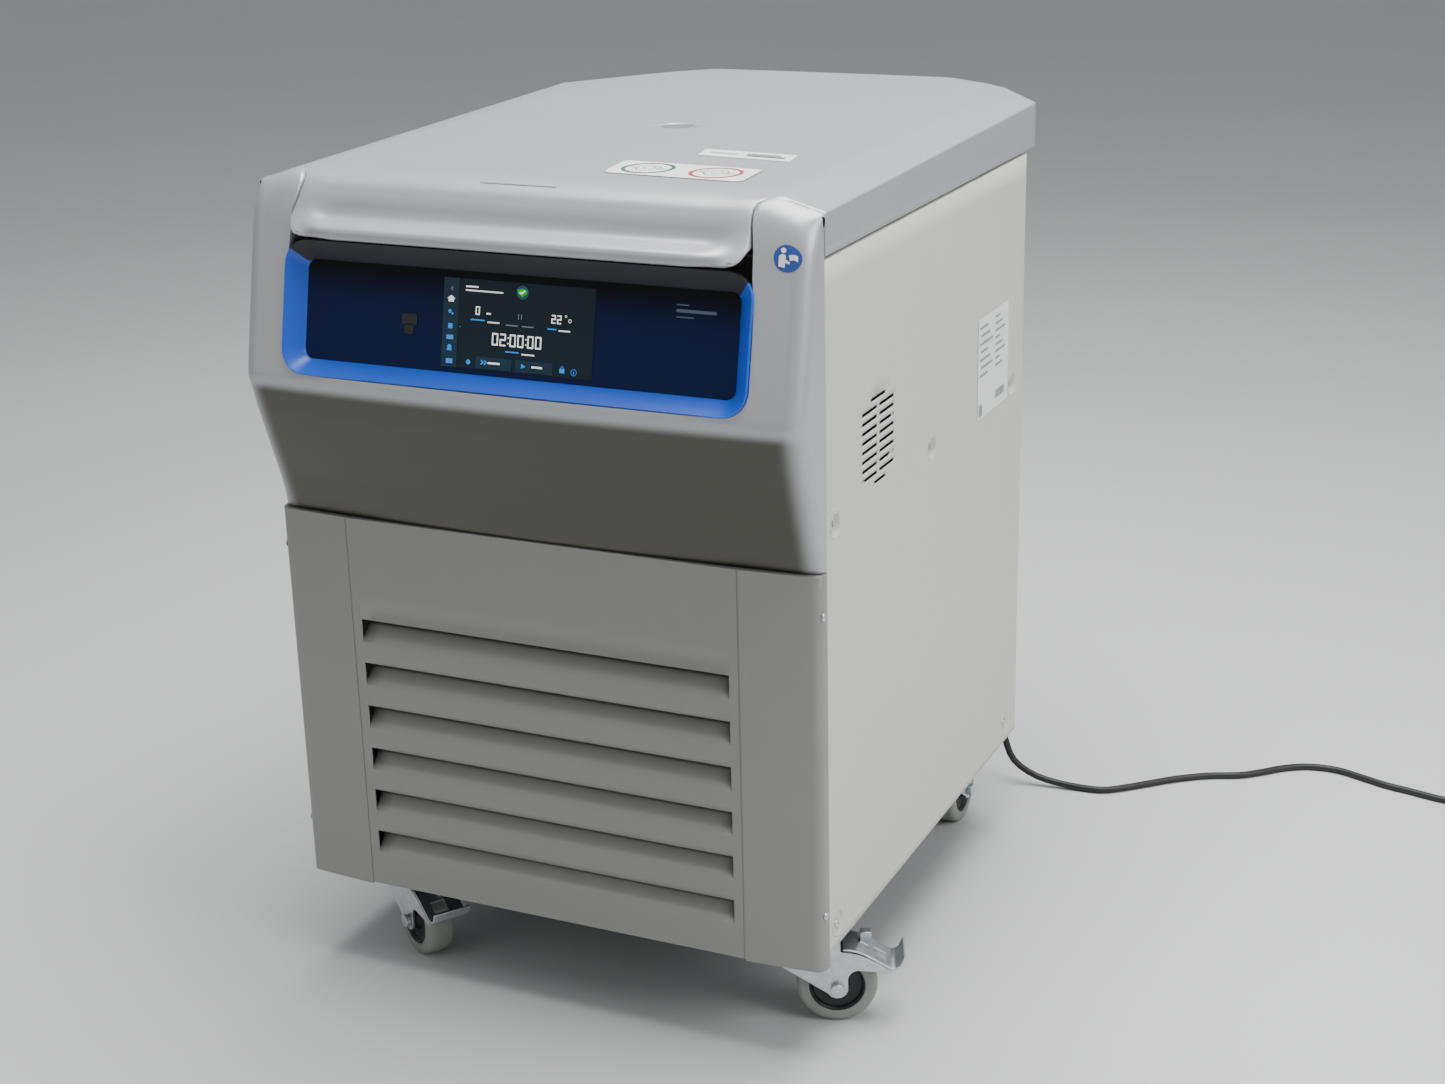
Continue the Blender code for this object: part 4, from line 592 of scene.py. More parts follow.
def makeLid():
    r = lid["radius"]
    bend = np.linspace(0, math.pi / 2, 5)
    # The main sheet: columns cross it from skirt to skirt, rows run back and then down the rear skirt.
    nose = lid["noseHalf"] * np.sin(np.linspace(-math.pi / 2, math.pi / 2, 61))
    nose = 0.35 * nose + 0.65 * np.linspace(-lid["noseHalf"], lid["noseHalf"], 61)
    wing = np.linspace(lid["noseHalf"], halfWidth - r, 11)[1:]
    across = np.concatenate([-wing[::-1], nose, wing])
    backs = np.concatenate([[0.0237, 0.030, 0.037, 0.045], np.linspace(0.055, 0.305, 22),
                            np.linspace(0.312, 0.354, 9), np.linspace(0.362, 0.612, 16), [0.620],
                            np.linspace(0.635, 0.715, 7), np.linspace(0.723, lid["back"] - r, 3)])
    rearY = np.concatenate([backs, lid["back"] - r + r * np.sin(bend[1:]), np.full(4, lid["back"])])
    rearDrop = np.concatenate([np.zeros(len(backs)), r * (1 - np.cos(bend[1:])), np.full(4, r)])
    skirtRow = np.concatenate([np.zeros(len(backs) + 4), np.linspace(0.25, 1, 4)])[:, None]
    side = np.concatenate([np.full(4, 0.0), -r + r * np.sin(bend[:0:-1])])
    dropC = np.concatenate([np.full(4, r), r * (1 - np.cos(bend[:0:-1]))])
    skirtC = np.concatenate([np.linspace(1, 0.25, 4), np.zeros(4)])
    half = lidHalf(rearY)[:, None]
    middle = across[None, :] * (half - r) / (halfWidth - r)
    left = -(half + side[None, :])
    x = np.concatenate([left, middle, -left[:, ::-1]], axis=1)
    y = np.broadcast_to(rearY[:, None], x.shape)
    fall = np.concatenate([dropC, np.zeros(len(across)), dropC[::-1]])[None, :]
    skirt = np.concatenate([skirtC, np.zeros(len(across)), skirtC[::-1]])[None, :]
    top = lidTop(np.clip(x, -(half - r), half - r), np.minimum(y, lid["back"] - r))
    amount = np.maximum(fall, rearDrop[:, None])
    down = np.maximum(skirt, skirtRow)
    z = top - amount
    z = z + (lid["skirt"] - z) * down
    sheet = np.stack([x, y, z], axis=-1)
    keep = punchHole(sheet, [0, 1], (0, rotorY), lid["portRadius"],
                     np.ones((x.shape[0] - 1, x.shape[1] - 1), bool))
    faces = gridFaces(*x.shape, keep=keep)
    # The nose: a lip, a finger ledge and a roll up to the top, which fades into one plain slope at its ends.
    ledge, plain = along(rounded(lid["ledge"], 0.0045, 7), 64), along(rounded(lid["plain"], 0.006, 7), 64)
    u = nose / lid["noseHalf"]
    fade = smoothStep(np.abs(u) * lid["gripHalf"], *lid["groove"])[None, :, None]
    section = ledge[:, None, :] * (1 - fade) + plain[:, None, :] * fade
    reach = np.interp(section[..., 1], lid["noseZ"], lid["noseReach"])
    front = np.concatenate([(reach * u[None, :])[..., None], section], axis=-1)
    front[-1, :, 0] = nose
    front[-1, :, 2] = lidTop(nose, np.full_like(nose, lid["front"]))
    # Each end rolls over a small edge and closes towards a point inside the nose.
    tangent = np.gradient(plain, axis=0)
    inner = np.stack([tangent[:, 1], -tangent[:, 0]], axis=-1) / np.linalg.norm(tangent, axis=1, keepdims=True)
    caps = []
    for sideSign, column in ((-1, 0), (1, -1)):
        base = front[:, column, :]
        core = np.array(lid["noseCore"]) - plain
        turns = [(0.0007, inner * 0.0001), (0.0014, inner * 0.0005), (0.0018, inner * 0.0012),
                 (0.0018, core * 0.40), (0.0018, core * 0.97)]
        strip = np.stack([base] + [base + np.concatenate([np.full((64, 1), sideSign * dx), move], axis=1)
                                   for dx, move in turns], axis=1)
        caps.append(strip if sideSign > 0 else strip[:, ::-1])
    front = np.concatenate([caps[0][:, :-1], front, caps[1][:, 1:]], axis=1)
    noseFaces = gridFaces(*front.shape[:2], start=sheet.size // 3)
    parts = [sheet.reshape(-1, 3), front.reshape(-1, 3)]
    # Beyond the nose, a front wall drops from the top sheet to the height of the skirts.
    shells = [faces, noseFaces]
    rise = np.linspace(0, 1, 7)[:, None]
    for sideSign in (-1, 1):
        wall = sideSign * np.linspace(lid["wingStart"], halfWidth - 0.0006, 9)[::sideSign]
        crest = lidTop(np.clip(wall, r - halfWidth, halfWidth - r), lid["front"]) - 0.0006
        height = lid["skirt"] + (crest - lid["skirt"]) * rise
        shells.append(gridFaces(7, 9, start=sum(len(part) for part in parts)))
        parts.append(np.stack([wall + 0 * height, lid["front"] + 0 * height, height], axis=-1).reshape(-1, 3))
    newPiece("lid_cover", np.concatenate(parts), np.concatenate(shells), "silver", "lid",
             ["lid_shell"], wall=lid["wall"], sharp=50)
    print("lid is formed")


makeLid()

console = {"corner": 0.018, "foot": 0.4951, "top": 0.8285, "seamY": 0.0213, "openLow": 0.6465,
           "openHalf": 0.2385, "openCorner": 0.024, "armDrop": 0.0125, "wall": 0.0025, "armInner": 0.2438,
           "crown": (-0.0015, 0.0085, 2.2),
           # Depth and height of the front below the roll, and the roll's four control points
           "profile": ((0.0030, 0.4951), (-0.0090, 0.534), (-0.0205, 0.5660), (-0.0340, 0.605),
                       (-0.0405, 0.628), (-0.0432, 0.636), (-0.0437, 0.642), (-0.0427, 0.648),
                       (-0.0134, 0.786)),
           "roll": ((-0.0134, 0.786), (-0.0084, 0.8095), (0.0013, 0.8285), (0.0213, 0.8285)),
           # Half-width and height down the arm's inner edge
           "armEdge": ((.2438, .8285), (.2370, .8275), (.2318, .8240), (.2302, .8196), (.2312, .8084),
                       (.2330, .7985), (.2342, .7882), (.2350, .7668), (.2366, .7509), (.2380, .7335),
                       (.2385, .7150), (.2385, .6705))}


def consoleFace(c, z):
    # The housing's front as a function of column c and height z: c to 1 crosses the crowned front, 1 to 2
    # rounds
    # the corner, 2 to 3 runs back along the side. The profile is a lip, a leaning face and a roll back to the
    # seam.
    t = np.linspace(0, 1, 12)[1:, None]
    a, b, near, end = np.array(console["roll"])
    roll = (1 - t) ** 3 * a + 3 * (1 - t) ** 2 * t * b + 3 * (1 - t) * t ** 2 * near + t ** 3 * end
    profile = np.concatenate([console["profile"], roll])
    side = np.sign(c)
    c = np.abs(c)
    r = console["corner"]
    x = np.minimum(c, 1) * (halfWidth - r)
    base, rise, power = console["crown"]
    crown = base + rise * (x / halfWidth) ** power
    y = np.minimum(np.interp(z, profile[:, 1], profile[:, 0]) + crown, console["seamY"])
    deep = np.minimum(r, console["seamY"] - y)
    a = np.clip(c - 1, 0, 1) * math.pi / 2
    x = x + r * np.sin(a)
    y = y + deep * (1 - np.cos(a))
    y = y + (console["seamY"] - y) * np.clip(c - 2, 0, 1)
    drop = console["armDrop"] * np.clip((x - console["armInner"]) / (halfWidth - console["armInner"]), 0,
                                        1) ** 1.15
    return np.stack([side * x, y, z - drop * smoothStep(z, 0.765, console["top"])], axis=-1)


def makeConsole():
    # A horseshoe of points between the opening's edge and the outer edge, both given as column and height.
    flat = halfWidth - console["corner"]
    edge = along(console["armEdge"], 60)
    turn = np.linspace(0, math.pi / 2, 19)[1:]
    r = console["openCorner"]
    corner = np.stack([console["openHalf"] - r + r * np.cos(turn), console["openLow"] + r - r * np.sin(turn)],
                      -1)
    bottom = np.stack([np.linspace(console["openHalf"] - r, 0, 40)[1:], np.full(39, console["openLow"])], -1)
    inner = np.concatenate([edge, corner, bottom])
    inner[:, 0] /= flat
    sweep = np.concatenate([np.linspace(edge[0, 1], edge[-1, 1], 60),
                            np.linspace(edge[-1, 1], console["foot"], 19)[1:]])
    outer = np.concatenate([np.stack([np.full(78, 3.0), sweep], -1),
                            np.stack([np.linspace(3, 0, 40)[1:], np.full(39, console["foot"])], -1)])
    inner = np.concatenate([inner, (inner * (-1, 1))[-2::-1]])
    outer = np.concatenate([outer, (outer * (-1, 1))[-2::-1]])
    w = np.concatenate([[0, 0.006, 0.014, 0.022, 0.030, 0.038, 0.048, 0.058, 0.068, 0.080, 0.095],
                        np.linspace(0.12, 1, 42)])[:, None, None]
    domain = inner * (1 - w) + outer * w
    skin = consoleFace(domain[..., 0], domain[..., 1])
    inward = skin[:1] + np.array([0, 0.0016, 0.0]) + np.array([0.0010, 0, 0]) * -np.sign(skin[:1, :, :1])
    deepIn = skin[:1] + (0, 0.022, -0.004)
    points = np.concatenate([deepIn, inward, skin])
    faces = gridFaces(*points.shape[:2])
    newPiece("console_cover", points, faces, "console", "machine", ["console_housing"],
             wall=console["wall"], sharp=44)
    print("console is formed")


makeConsole()

bezel = {"half": 0.2378, "high": 0.126, "corner": 0.024, "glassHalf": 0.2212, "glassLow": 0.0150,
         "glassHigh": 0.1075, "glassCorner": 0.009, "tilt": 12, "footY": -0.042, "footZ": 0.647}


def onBezel(u, v, depth):
    # Bezel coordinates: u across, v up the tilted face, depth into it
    lean = math.radians(bezel["tilt"])
    return np.stack([u + 0 * v, bezel["footY"] + v * math.sin(lean) + depth * math.cos(lean),
                     bezel["footZ"] + v * math.cos(lean) - depth * math.sin(lean)], axis=-1)


def roundedLoop(low, high, radius, steps=8, edge=24):
    # Rectangle with round corners: each corner is an arc, with even points along the straights between
    corners = []
    for cx, cy, start in ((high[0] - radius, high[1] - radius, 0), (low[0] + radius, high[1] - radius, 90),
                          (low[0] + radius, low[1] + radius, 180), (high[0] - radius, low[1] + radius, 270)):
        a = np.radians(start + np.linspace(0, 90, steps))
        corners.append(np.stack([cx + radius * np.cos(a), cy + radius * np.sin(a)], -1))
    out = []
    for one, following in zip(corners, corners[1:] + corners[:1]):
        t = np.linspace(0, 1, edge + 2)[1:-1, None]
        out += [one, one[-1] * (1 - t) + following[0] * t]
    return np.concatenate(out)


def makeBezel():
    # Loops between the outer and the glass outline: a small lip, a sloping funnel and a foot behind the glass
    outer = roundedLoop((-bezel["half"], 0.0), (bezel["half"], bezel["high"]), bezel["corner"])
    glass = roundedLoop((-bezel["glassHalf"], bezel["glassLow"]), (bezel["glassHalf"], bezel["glassHigh"]),
                        bezel["glassCorner"])
    shape = [(0, 0.008), (0, 0.0015), (0.012, 0.0004), (0.05, 0.0), (0.12, 0.0008), (0.93, 0.0142),
             (0.985, 0.0152), (1, 0.0162), (1, 0.0200)]
    loops = [onBezel(*(outer * (1 - t) + glass * t).T, depth) for t, depth in shape]
    points = np.stack(loops)
    screenFrame = newPiece("screen_frame", points, gridFaces(*points.shape[:2], wrap=True), "blue", "machine",
                           ["console_bezel"],
                      wall=0.0012, sharp=40)
    # Its top band, under the lid's nose, is matt black up to the mitres: partly the band's own dark colour,
    # partly painted shade from the nose.
    screenFrame.data.materials.append(finishes["black"])
    middle = np.empty(len(screenFrame.data.polygons) * 3)
    screenFrame.data.polygons.foreach_get("center", middle)
    u, y, z = (middle.reshape(-1, 3) - shift).T
    lean = math.radians(bezel["tilt"])
    v = (y - bezel["footY"]) * math.sin(lean) + (z - bezel["footZ"]) * math.cos(lean)
    # Painted shade, in part: the faces above the glass and inside the mitres take the black finish
    top = (v - bezel["glassHigh"] > (np.abs(u) - bezel["glassHalf"]) * 1.1) & (v > bezel["glassHigh"] - 0.002)
    screenFrame.data.polygons.foreach_set("material_index", top.astype(np.int32))
    print("screen frame is formed")


makeBezel()

screen = {"half": (0.0775, 0.0404), "middle": (0.0037, 0.0605), "gap": 0.0004, "glassDepth": 0.016}


def flatPiece(name, shapes, finish, layer=1, place=None, body="machine"):
    # Thin printed shapes: each closed outline is filled by a fan about its middle, or joined to a hole's
    # outline,
    # and place puts (u, v) and a layer's height onto the surface.
    put = place or (lambda u, v, up: onBezel(u, v, screen["glassDepth"] - up))
    points, faces, count = [], [], 0
    for shape in shapes:
        outline, hole = shape if isinstance(shape, tuple) else (shape, None)
        outline = np.asarray(outline, float)
        inner = outline.mean(0) + (outline - outline.mean(0)) * 1e-4 if hole is None else np.asarray(hole,
            float)
        t = np.linspace(0, 1, 6 if hole is None else 2)[:, None, None]
        rings = outline * (1 - t) + inner * t
        points.append(put(rings[..., 0], rings[..., 1], screen["gap"] * layer).reshape(-1, 3))
        faces.append(gridFaces(*rings.shape[:2], wrap=True, start=count))
        count += rings.shape[0] * rings.shape[1]
    return newPiece(name, np.concatenate(points), np.concatenate(faces), finish, body, sharp=60)


def rect(x0, y0, x1, y1, r=0.0006, steps=4, edge=1):
    return roundedLoop((x0, y0), (x1, y1), r, steps, edge)


def disc(x, y, r, count=28):
    a = np.linspace(0, math.tau, count, endpoint=False)
    return np.stack([x + r * np.cos(a), y + r * np.sin(a)], -1)


def ring(x, y, r, width, count=36):
    return disc(x, y, r, count), disc(x, y, r - width, count)


def digitBars(text, x, y, high, stroke):
    # Digits drawn as seven bars each, and a colon as two dots: a display's own figures
    bars = {"a": (0, 2, 1, 2), "b": (1, 1, 1, 2), "c": (1, 0, 1, 1), "d": (0, 0, 1, 0), "e": (0, 0, 0, 1),
            "f": (0, 1, 0, 2), "g": (0, 1, 1, 1)}
    figures = {"0": "abcdef", "2": "abged", ":": ""}
    out = []
    wide = high * 0.50
    for mark in text:
        if mark == ":":
            out += [rect(x - stroke / 2, y + high * f - stroke / 2, x + stroke / 2, y + high * f + stroke / 2,
                         stroke * 0.4) for f in (0.22, 0.72)]
            x += wide * 0.45
            continue
        for bar in figures[mark]:
            x0, y0, x1, y1 = bars[bar]
            out.append(rect(x + x0 * wide - stroke / 2, y + y0 * high / 2 - stroke / 2,
                            x + x1 * wide + stroke / 2, y + y1 * high / 2 + stroke / 2, stroke * 0.49))
        x += wide + stroke * 2.2
    return out


def makeDisplay():
    for name, colour, glow in (("displayDark", "#14242f", 0.10), ("displayBar", "#1d3444", 0.16),
                               ("displayWhite", "#e8ebe4", 0.75), ("displayBlue", "#2f86dc", 0.55),
                               ("displayGreen", "#17a323", 0.6), ("displayGrey", "#6d7b84", 0.3),
                               ("displayHalo", "#2b5a68", 0.2), ("displayDim", "#566273", 0.12)):
        finishes[name] = litSegments(name, colour, glow)
    u0, u1 = screen["middle"][0] - screen["half"][0], screen["middle"][0] + screen["half"][0]
    v0, v1 = screen["middle"][1] - screen["half"][1], screen["middle"][1] + screen["half"][1]

    def at(fx, fy):
        return u0 + fx * (u1 - u0), v1 - fy * (v1 - v0)

    def bars(rows):
        return [rect(*at(x0, y1), *at(x1, y0), 0.0003, 3) for x0, y0, x1, y1 in rows]

    flatPiece("display_panel", [rect(u0, v0, u1, v1, 0.0008)], "displayDark", 1)
    flatPiece("display_sidebar", bars([(0.0, 0.0, 0.105, 1.0)])
              + bars([(0.235, 0.850, 0.475, 0.985), (0.500, 0.850, 0.745, 0.985)]), "displayBar", 2)
    home = [at(0.055, 0.195), at(0.082, 0.232), at(0.073, 0.232), at(0.073, 0.268), at(0.037, 0.268),
            at(0.037, 0.232), at(0.028, 0.232)]
    white = digitBars("0", *at(0.226, 0.385), 0.0066, 0.0011)
    white += digitBars("22", *at(0.728, 0.408), 0.0066, 0.0011)
    white += digitBars("02:00:00", *at(0.345, 0.705), 0.0098, 0.0014) + [home]
    white += bars([(0.295, 0.360, 0.325, 0.378), (0.150, 0.075, 0.235, 0.092), (0.150, 0.118, 0.400, 0.134),
                   (0.305, 0.455, 0.385, 0.470), (0.775, 0.480, 0.850, 0.495), (0.540, 0.778, 0.625, 0.793),
                   (0.320, 0.905, 0.400, 0.926), (0.610, 0.905, 0.680, 0.926)])
    white += [ring(*at(0.818, 0.325), 0.0011, 0.0004, 16), ring(*at(0.845, 0.372), 0.0017, 0.0005, 16)]
    tick = [at(0.505, 0.105), at(0.512, 0.098), at(0.520, 0.110), at(0.540, 0.078), at(0.547, 0.086),
            at(0.521, 0.128)]
    flatPiece("display_figures", white + [tick], "displayWhite", 4)
    shield = [at(0.492, 0.075), at(0.508, 0.070), at(0.525, 0.058), at(0.542, 0.070), at(0.558, 0.075),
              at(0.556, 0.115), at(0.525, 0.155), at(0.494, 0.115)]
    flatPiece("display_halo", [disc(*at(0.525, 0.105), 0.0062)], "displayHalo", 2)
    flatPiece("display_shield", [shield], "displayGreen", 3)
    blue = bars([(0.040, 0.510, 0.070, 0.570), (0.032, 0.640, 0.078, 0.690), (0.035, 0.905, 0.080, 0.960),
                 (0.118, 0.535, 0.126, 0.545), (0.190, 0.440, 0.285, 0.456), (0.700, 0.470, 0.760, 0.485),
                 (0.430, 0.765, 0.520, 0.780), (0.792, 0.900, 0.826, 0.950)])
    blue += [disc(*at(0.048, 0.375), 0.0019, 8), disc(*at(0.066, 0.400), 0.0012, 8),
             disc(*at(0.055, 0.775), 0.0023, 14), rect(*at(0.038, 0.815), *at(0.072, 0.795), 0.0004),
             disc(*at(0.187, 0.925), 0.0024, 8), ring(*at(0.885, 0.930), 0.0030, 0.0005),
             ring(*at(0.809, 0.893), 0.0017, 0.0006, 16), rect(*at(0.882, 0.950), *at(0.888, 0.918), 0.0002)]
    play = [at(0.540, 0.890), at(0.572, 0.917), at(0.540, 0.944)]
    arrows = [[at(x, 0.888), at(x + 0.008, 0.888), at(x + 0.026, 0.915), at(x + 0.008, 0.942), at(x, 0.942),
               at(x + 0.016, 0.915)] for x in (0.268, 0.290)]
    flatPiece("display_icons", blue + [play] + arrows, "displayBlue", 3)
    chevron = [at(0.062, 0.095), at(0.066, 0.101), at(0.052, 0.120), at(0.066, 0.139), at(0.062, 0.145),
               at(0.044, 0.120)]
    flatPiece("display_greys", [chevron] + bars([(0.505, 0.345, 0.511, 0.405), (0.524, 0.345, 0.530, 0.405),
                                                 (0.425, 0.470, 0.505, 0.484), (0.530, 0.470, 0.610, 0.484)]),
              "displayGrey", 3)
    # A data port with its flap stands left of the display, and a generic type mark of plain bars on its right.
    port = [rect(-0.1172, 0.0545, -0.1010, 0.0650, 0.0015), rect(-0.1140, 0.0465, -0.1045, 0.0560, 0.0015)]
    flatPiece("data_port", port, "black", 2)
    flatPiece("type_mark", [rect(0.1600, 0.0928, 0.1720, 0.0939, 0.0004),
                            rect(0.1600, 0.0868, 0.1985, 0.0896, 0.0006),
                            rect(0.1600, 0.0822, 0.1770, 0.0833, 0.0004)],
              "displayDim", 1)
    print("display is drawn")


makeDisplay()

grille = {"top": 0.4945, "low": 0.1014, "stripDrop": 0.0022, "crease": 0.2079, "lean": 4, "sideY": 0.0216,
          "louvreTop": 0.3908, "pitch": 0.04585, "open": 0.0248, "half": 0.198, "count": 6, "flapLean": 40,
          "flapBend": 0.010, "wall": 0.0015, "screws": ((0.0135, 0.455), (0.0135, 0.156))}


def makeGrille():
    # The sheet follows a plan outline with a crease and a round corner on each side; rows climb it, with a fold
    # at
    # the foot and the head. Each louvre leaves its cells open and turns inwards from the sill on a long bend.
    out = halfWidth - grille["crease"]
    plan = rounded([(0, 0), (grille["crease"], 0), (halfWidth, out * math.tan(math.radians(grille["lean"]))),
                    (halfWidth, 0.0290)], 0.0185, 9)
    seam = [(grille["crease"] + dx, dy) for dx, dy in ((-0.0010, 0.0), (-0.0005, 0.0009), (0.0005, 0.0009),
                                                       (0.0010, 0.0001))]
    plan = np.concatenate([[(x, 0.0) for x in np.linspace(0, grille["half"], 12)],
                           [(grille["half"] + 0.0016, 0.0)], seam, plan[plan[:, 0] > grille["crease"]
                               + 0.0020]])
    plan = plan[plan[:, 1] <= grille["sideY"]]
    plan = np.concatenate([plan, [(halfWidth, grille["sideY"]), (halfWidth - 0.0035, grille["sideY"] - 0.0002),
                                  (halfWidth - 0.014, grille["sideY"] - 0.0002)]])
    plan = np.concatenate([(plan * (-1, 1))[:0:-1], plan])
    tops = grille["louvreTop"] - np.arange(grille["count"]) * grille["pitch"]
    steps = [np.linspace(grille["low"], tops[-1] - grille["open"], 5)]
    for top, above in zip(tops[::-1], list(tops[::-1][1:] - grille["open"]) + [grille["top"]]):
        steps.append(np.linspace(top - grille["open"], top, 3)[1:])
        steps.append(np.linspace(top, above, 5)[1:])
    rows = np.concatenate(steps)
    x = np.broadcast_to(plan[:, 0], (len(rows), len(plan)))
    y = np.broadcast_to(plan[:, 1], x.shape)
    strip = smoothStep(np.abs(x), grille["crease"] - 0.001, grille["crease"] + 0.002)
    foot = 1 - smoothStep(rows, grille["low"], grille["low"] + 0.03)[:, None]
    z = rows[:, None] - grille["stripDrop"] * strip * foot
    sheet = np.stack([x, y, z], axis=-1)
    back = np.array([(0, 0.0008, -0.0004), (0, 0.0120, -0.0004)])
    sheet = np.concatenate([sheet[:1] + back[1], sheet[:1] + back[0], sheet, sheet[-1:] + (0, 0.0008, 0.0004),
                            sheet[-1:] + (0, 0.0100, 0.0004)])
    sheet[..., 1] = np.minimum(sheet[..., 1], 0.0225)
    midZ = (sheet[:-1, :-1, 2] + sheet[1:, 1:, 2]) / 2
    out = np.abs(sheet[:-1, :-1, 0] + sheet[1:, 1:, 0]) / 2
    keep = np.ones(midZ.shape, bool)
    for top in tops:
        keep &= ~((midZ < top) & (midZ > top - grille["open"]) & (out < grille["half"] + 0.0008))
    faces = [gridFaces(*sheet.shape[:2], keep=keep)]
    points = [sheet.reshape(-1, 3)]
    count = sheet.size // 3
    lean, r = math.radians(grille["flapLean"]), grille["flapBend"]
    turn = np.linspace(0, lean, 7)
    shape = np.stack([r * (1 - np.cos(turn)), r * np.sin(turn)], -1)
    rest = grille["open"] - 0.0012 - r * lean
    shape = np.concatenate([shape, shape[-1:] + np.linspace(0.25, 1, 4)[:, None] * rest
                            * (math.sin(lean), math.cos(lean))])
    across = plan[np.abs(plan[:, 0]) <= grille["half"] + 1e-6][:, 0]
    for top in tops:
        flap = np.stack([np.broadcast_to(across, (len(shape), len(across))),
                         np.broadcast_to(shape[:, :1], (len(shape), len(across))),
                         np.broadcast_to(shape[:, 1:] + top - grille["open"], (len(shape), len(across)))], -1)
        points.append(flap.reshape(-1, 3))
        faces.append(gridFaces(len(shape), len(across), start=count))
        count += flap.size // 3
    newPiece("grille_panel", np.concatenate(points), np.concatenate(faces), "grey", "machine",
             ["front_panel"], wall=grille["wall"], sharp=40)
    for side in (1, -1):
        for row, (y0, z0) in enumerate(grille["screws"]):
            place = np.array(Matrix.Translation((side * (halfWidth - 0.0002), y0, z0)) @ Matrix.Rotation(side
                * math.pi / 2, 4, "Y"))
            panScrew(f"grille_screw_{'right' if side > 0 else 'left'}_{row + 1}", place, 0.0040)
    print("grille is folded")


def panScrew(name, place, radius, height=0.0016):
    # Pan head with a hexagon-like socket: a domed lathe with a pit in its middle, held on its washer face
    t = np.linspace(0, math.pi / 2, 6)[::-1]
    dome = [(0.00001, height * 0.45), (radius * 0.42, height * 0.45), (radius * 0.46, height)]
    dome += [(radius * (0.55 + 0.45 * math.cos(a)), height * (0.25 + 0.75 * math.sin(a)))
             for a in t] + [(radius, -0.0004)]
    points = latheGrid(dome[::-1], 20, place)
    return newPiece(name, points, gridFaces(*points.shape[:2], wrap=True), "zinc", "machine",
                    sharp=40)


makeGrille()

sides = {"front": 0.0216, "back": 0.592, "low": 0.1114, "top": 0.7762, "fold": 0.012, "radius": 0.0018,
         "wall": 0.0015, "ventY": ((0.1085, 0.1470), (0.1523, 0.1908)), "ventZ": (0.6172, 0.0090, 8, 0.0038),
         "oddY": (0.1304, 0.1689), "dish": 0.0120, "dishDeep": 0.0049, "dishShallow": 0.0013, "railTop": 0.2,
         "dishes": ((0.0415, 0.5326), (0.2971, 0.5326), (0.5519, 0.5326), (0.0415, 0.1337), (0.5519, 0.1337))}


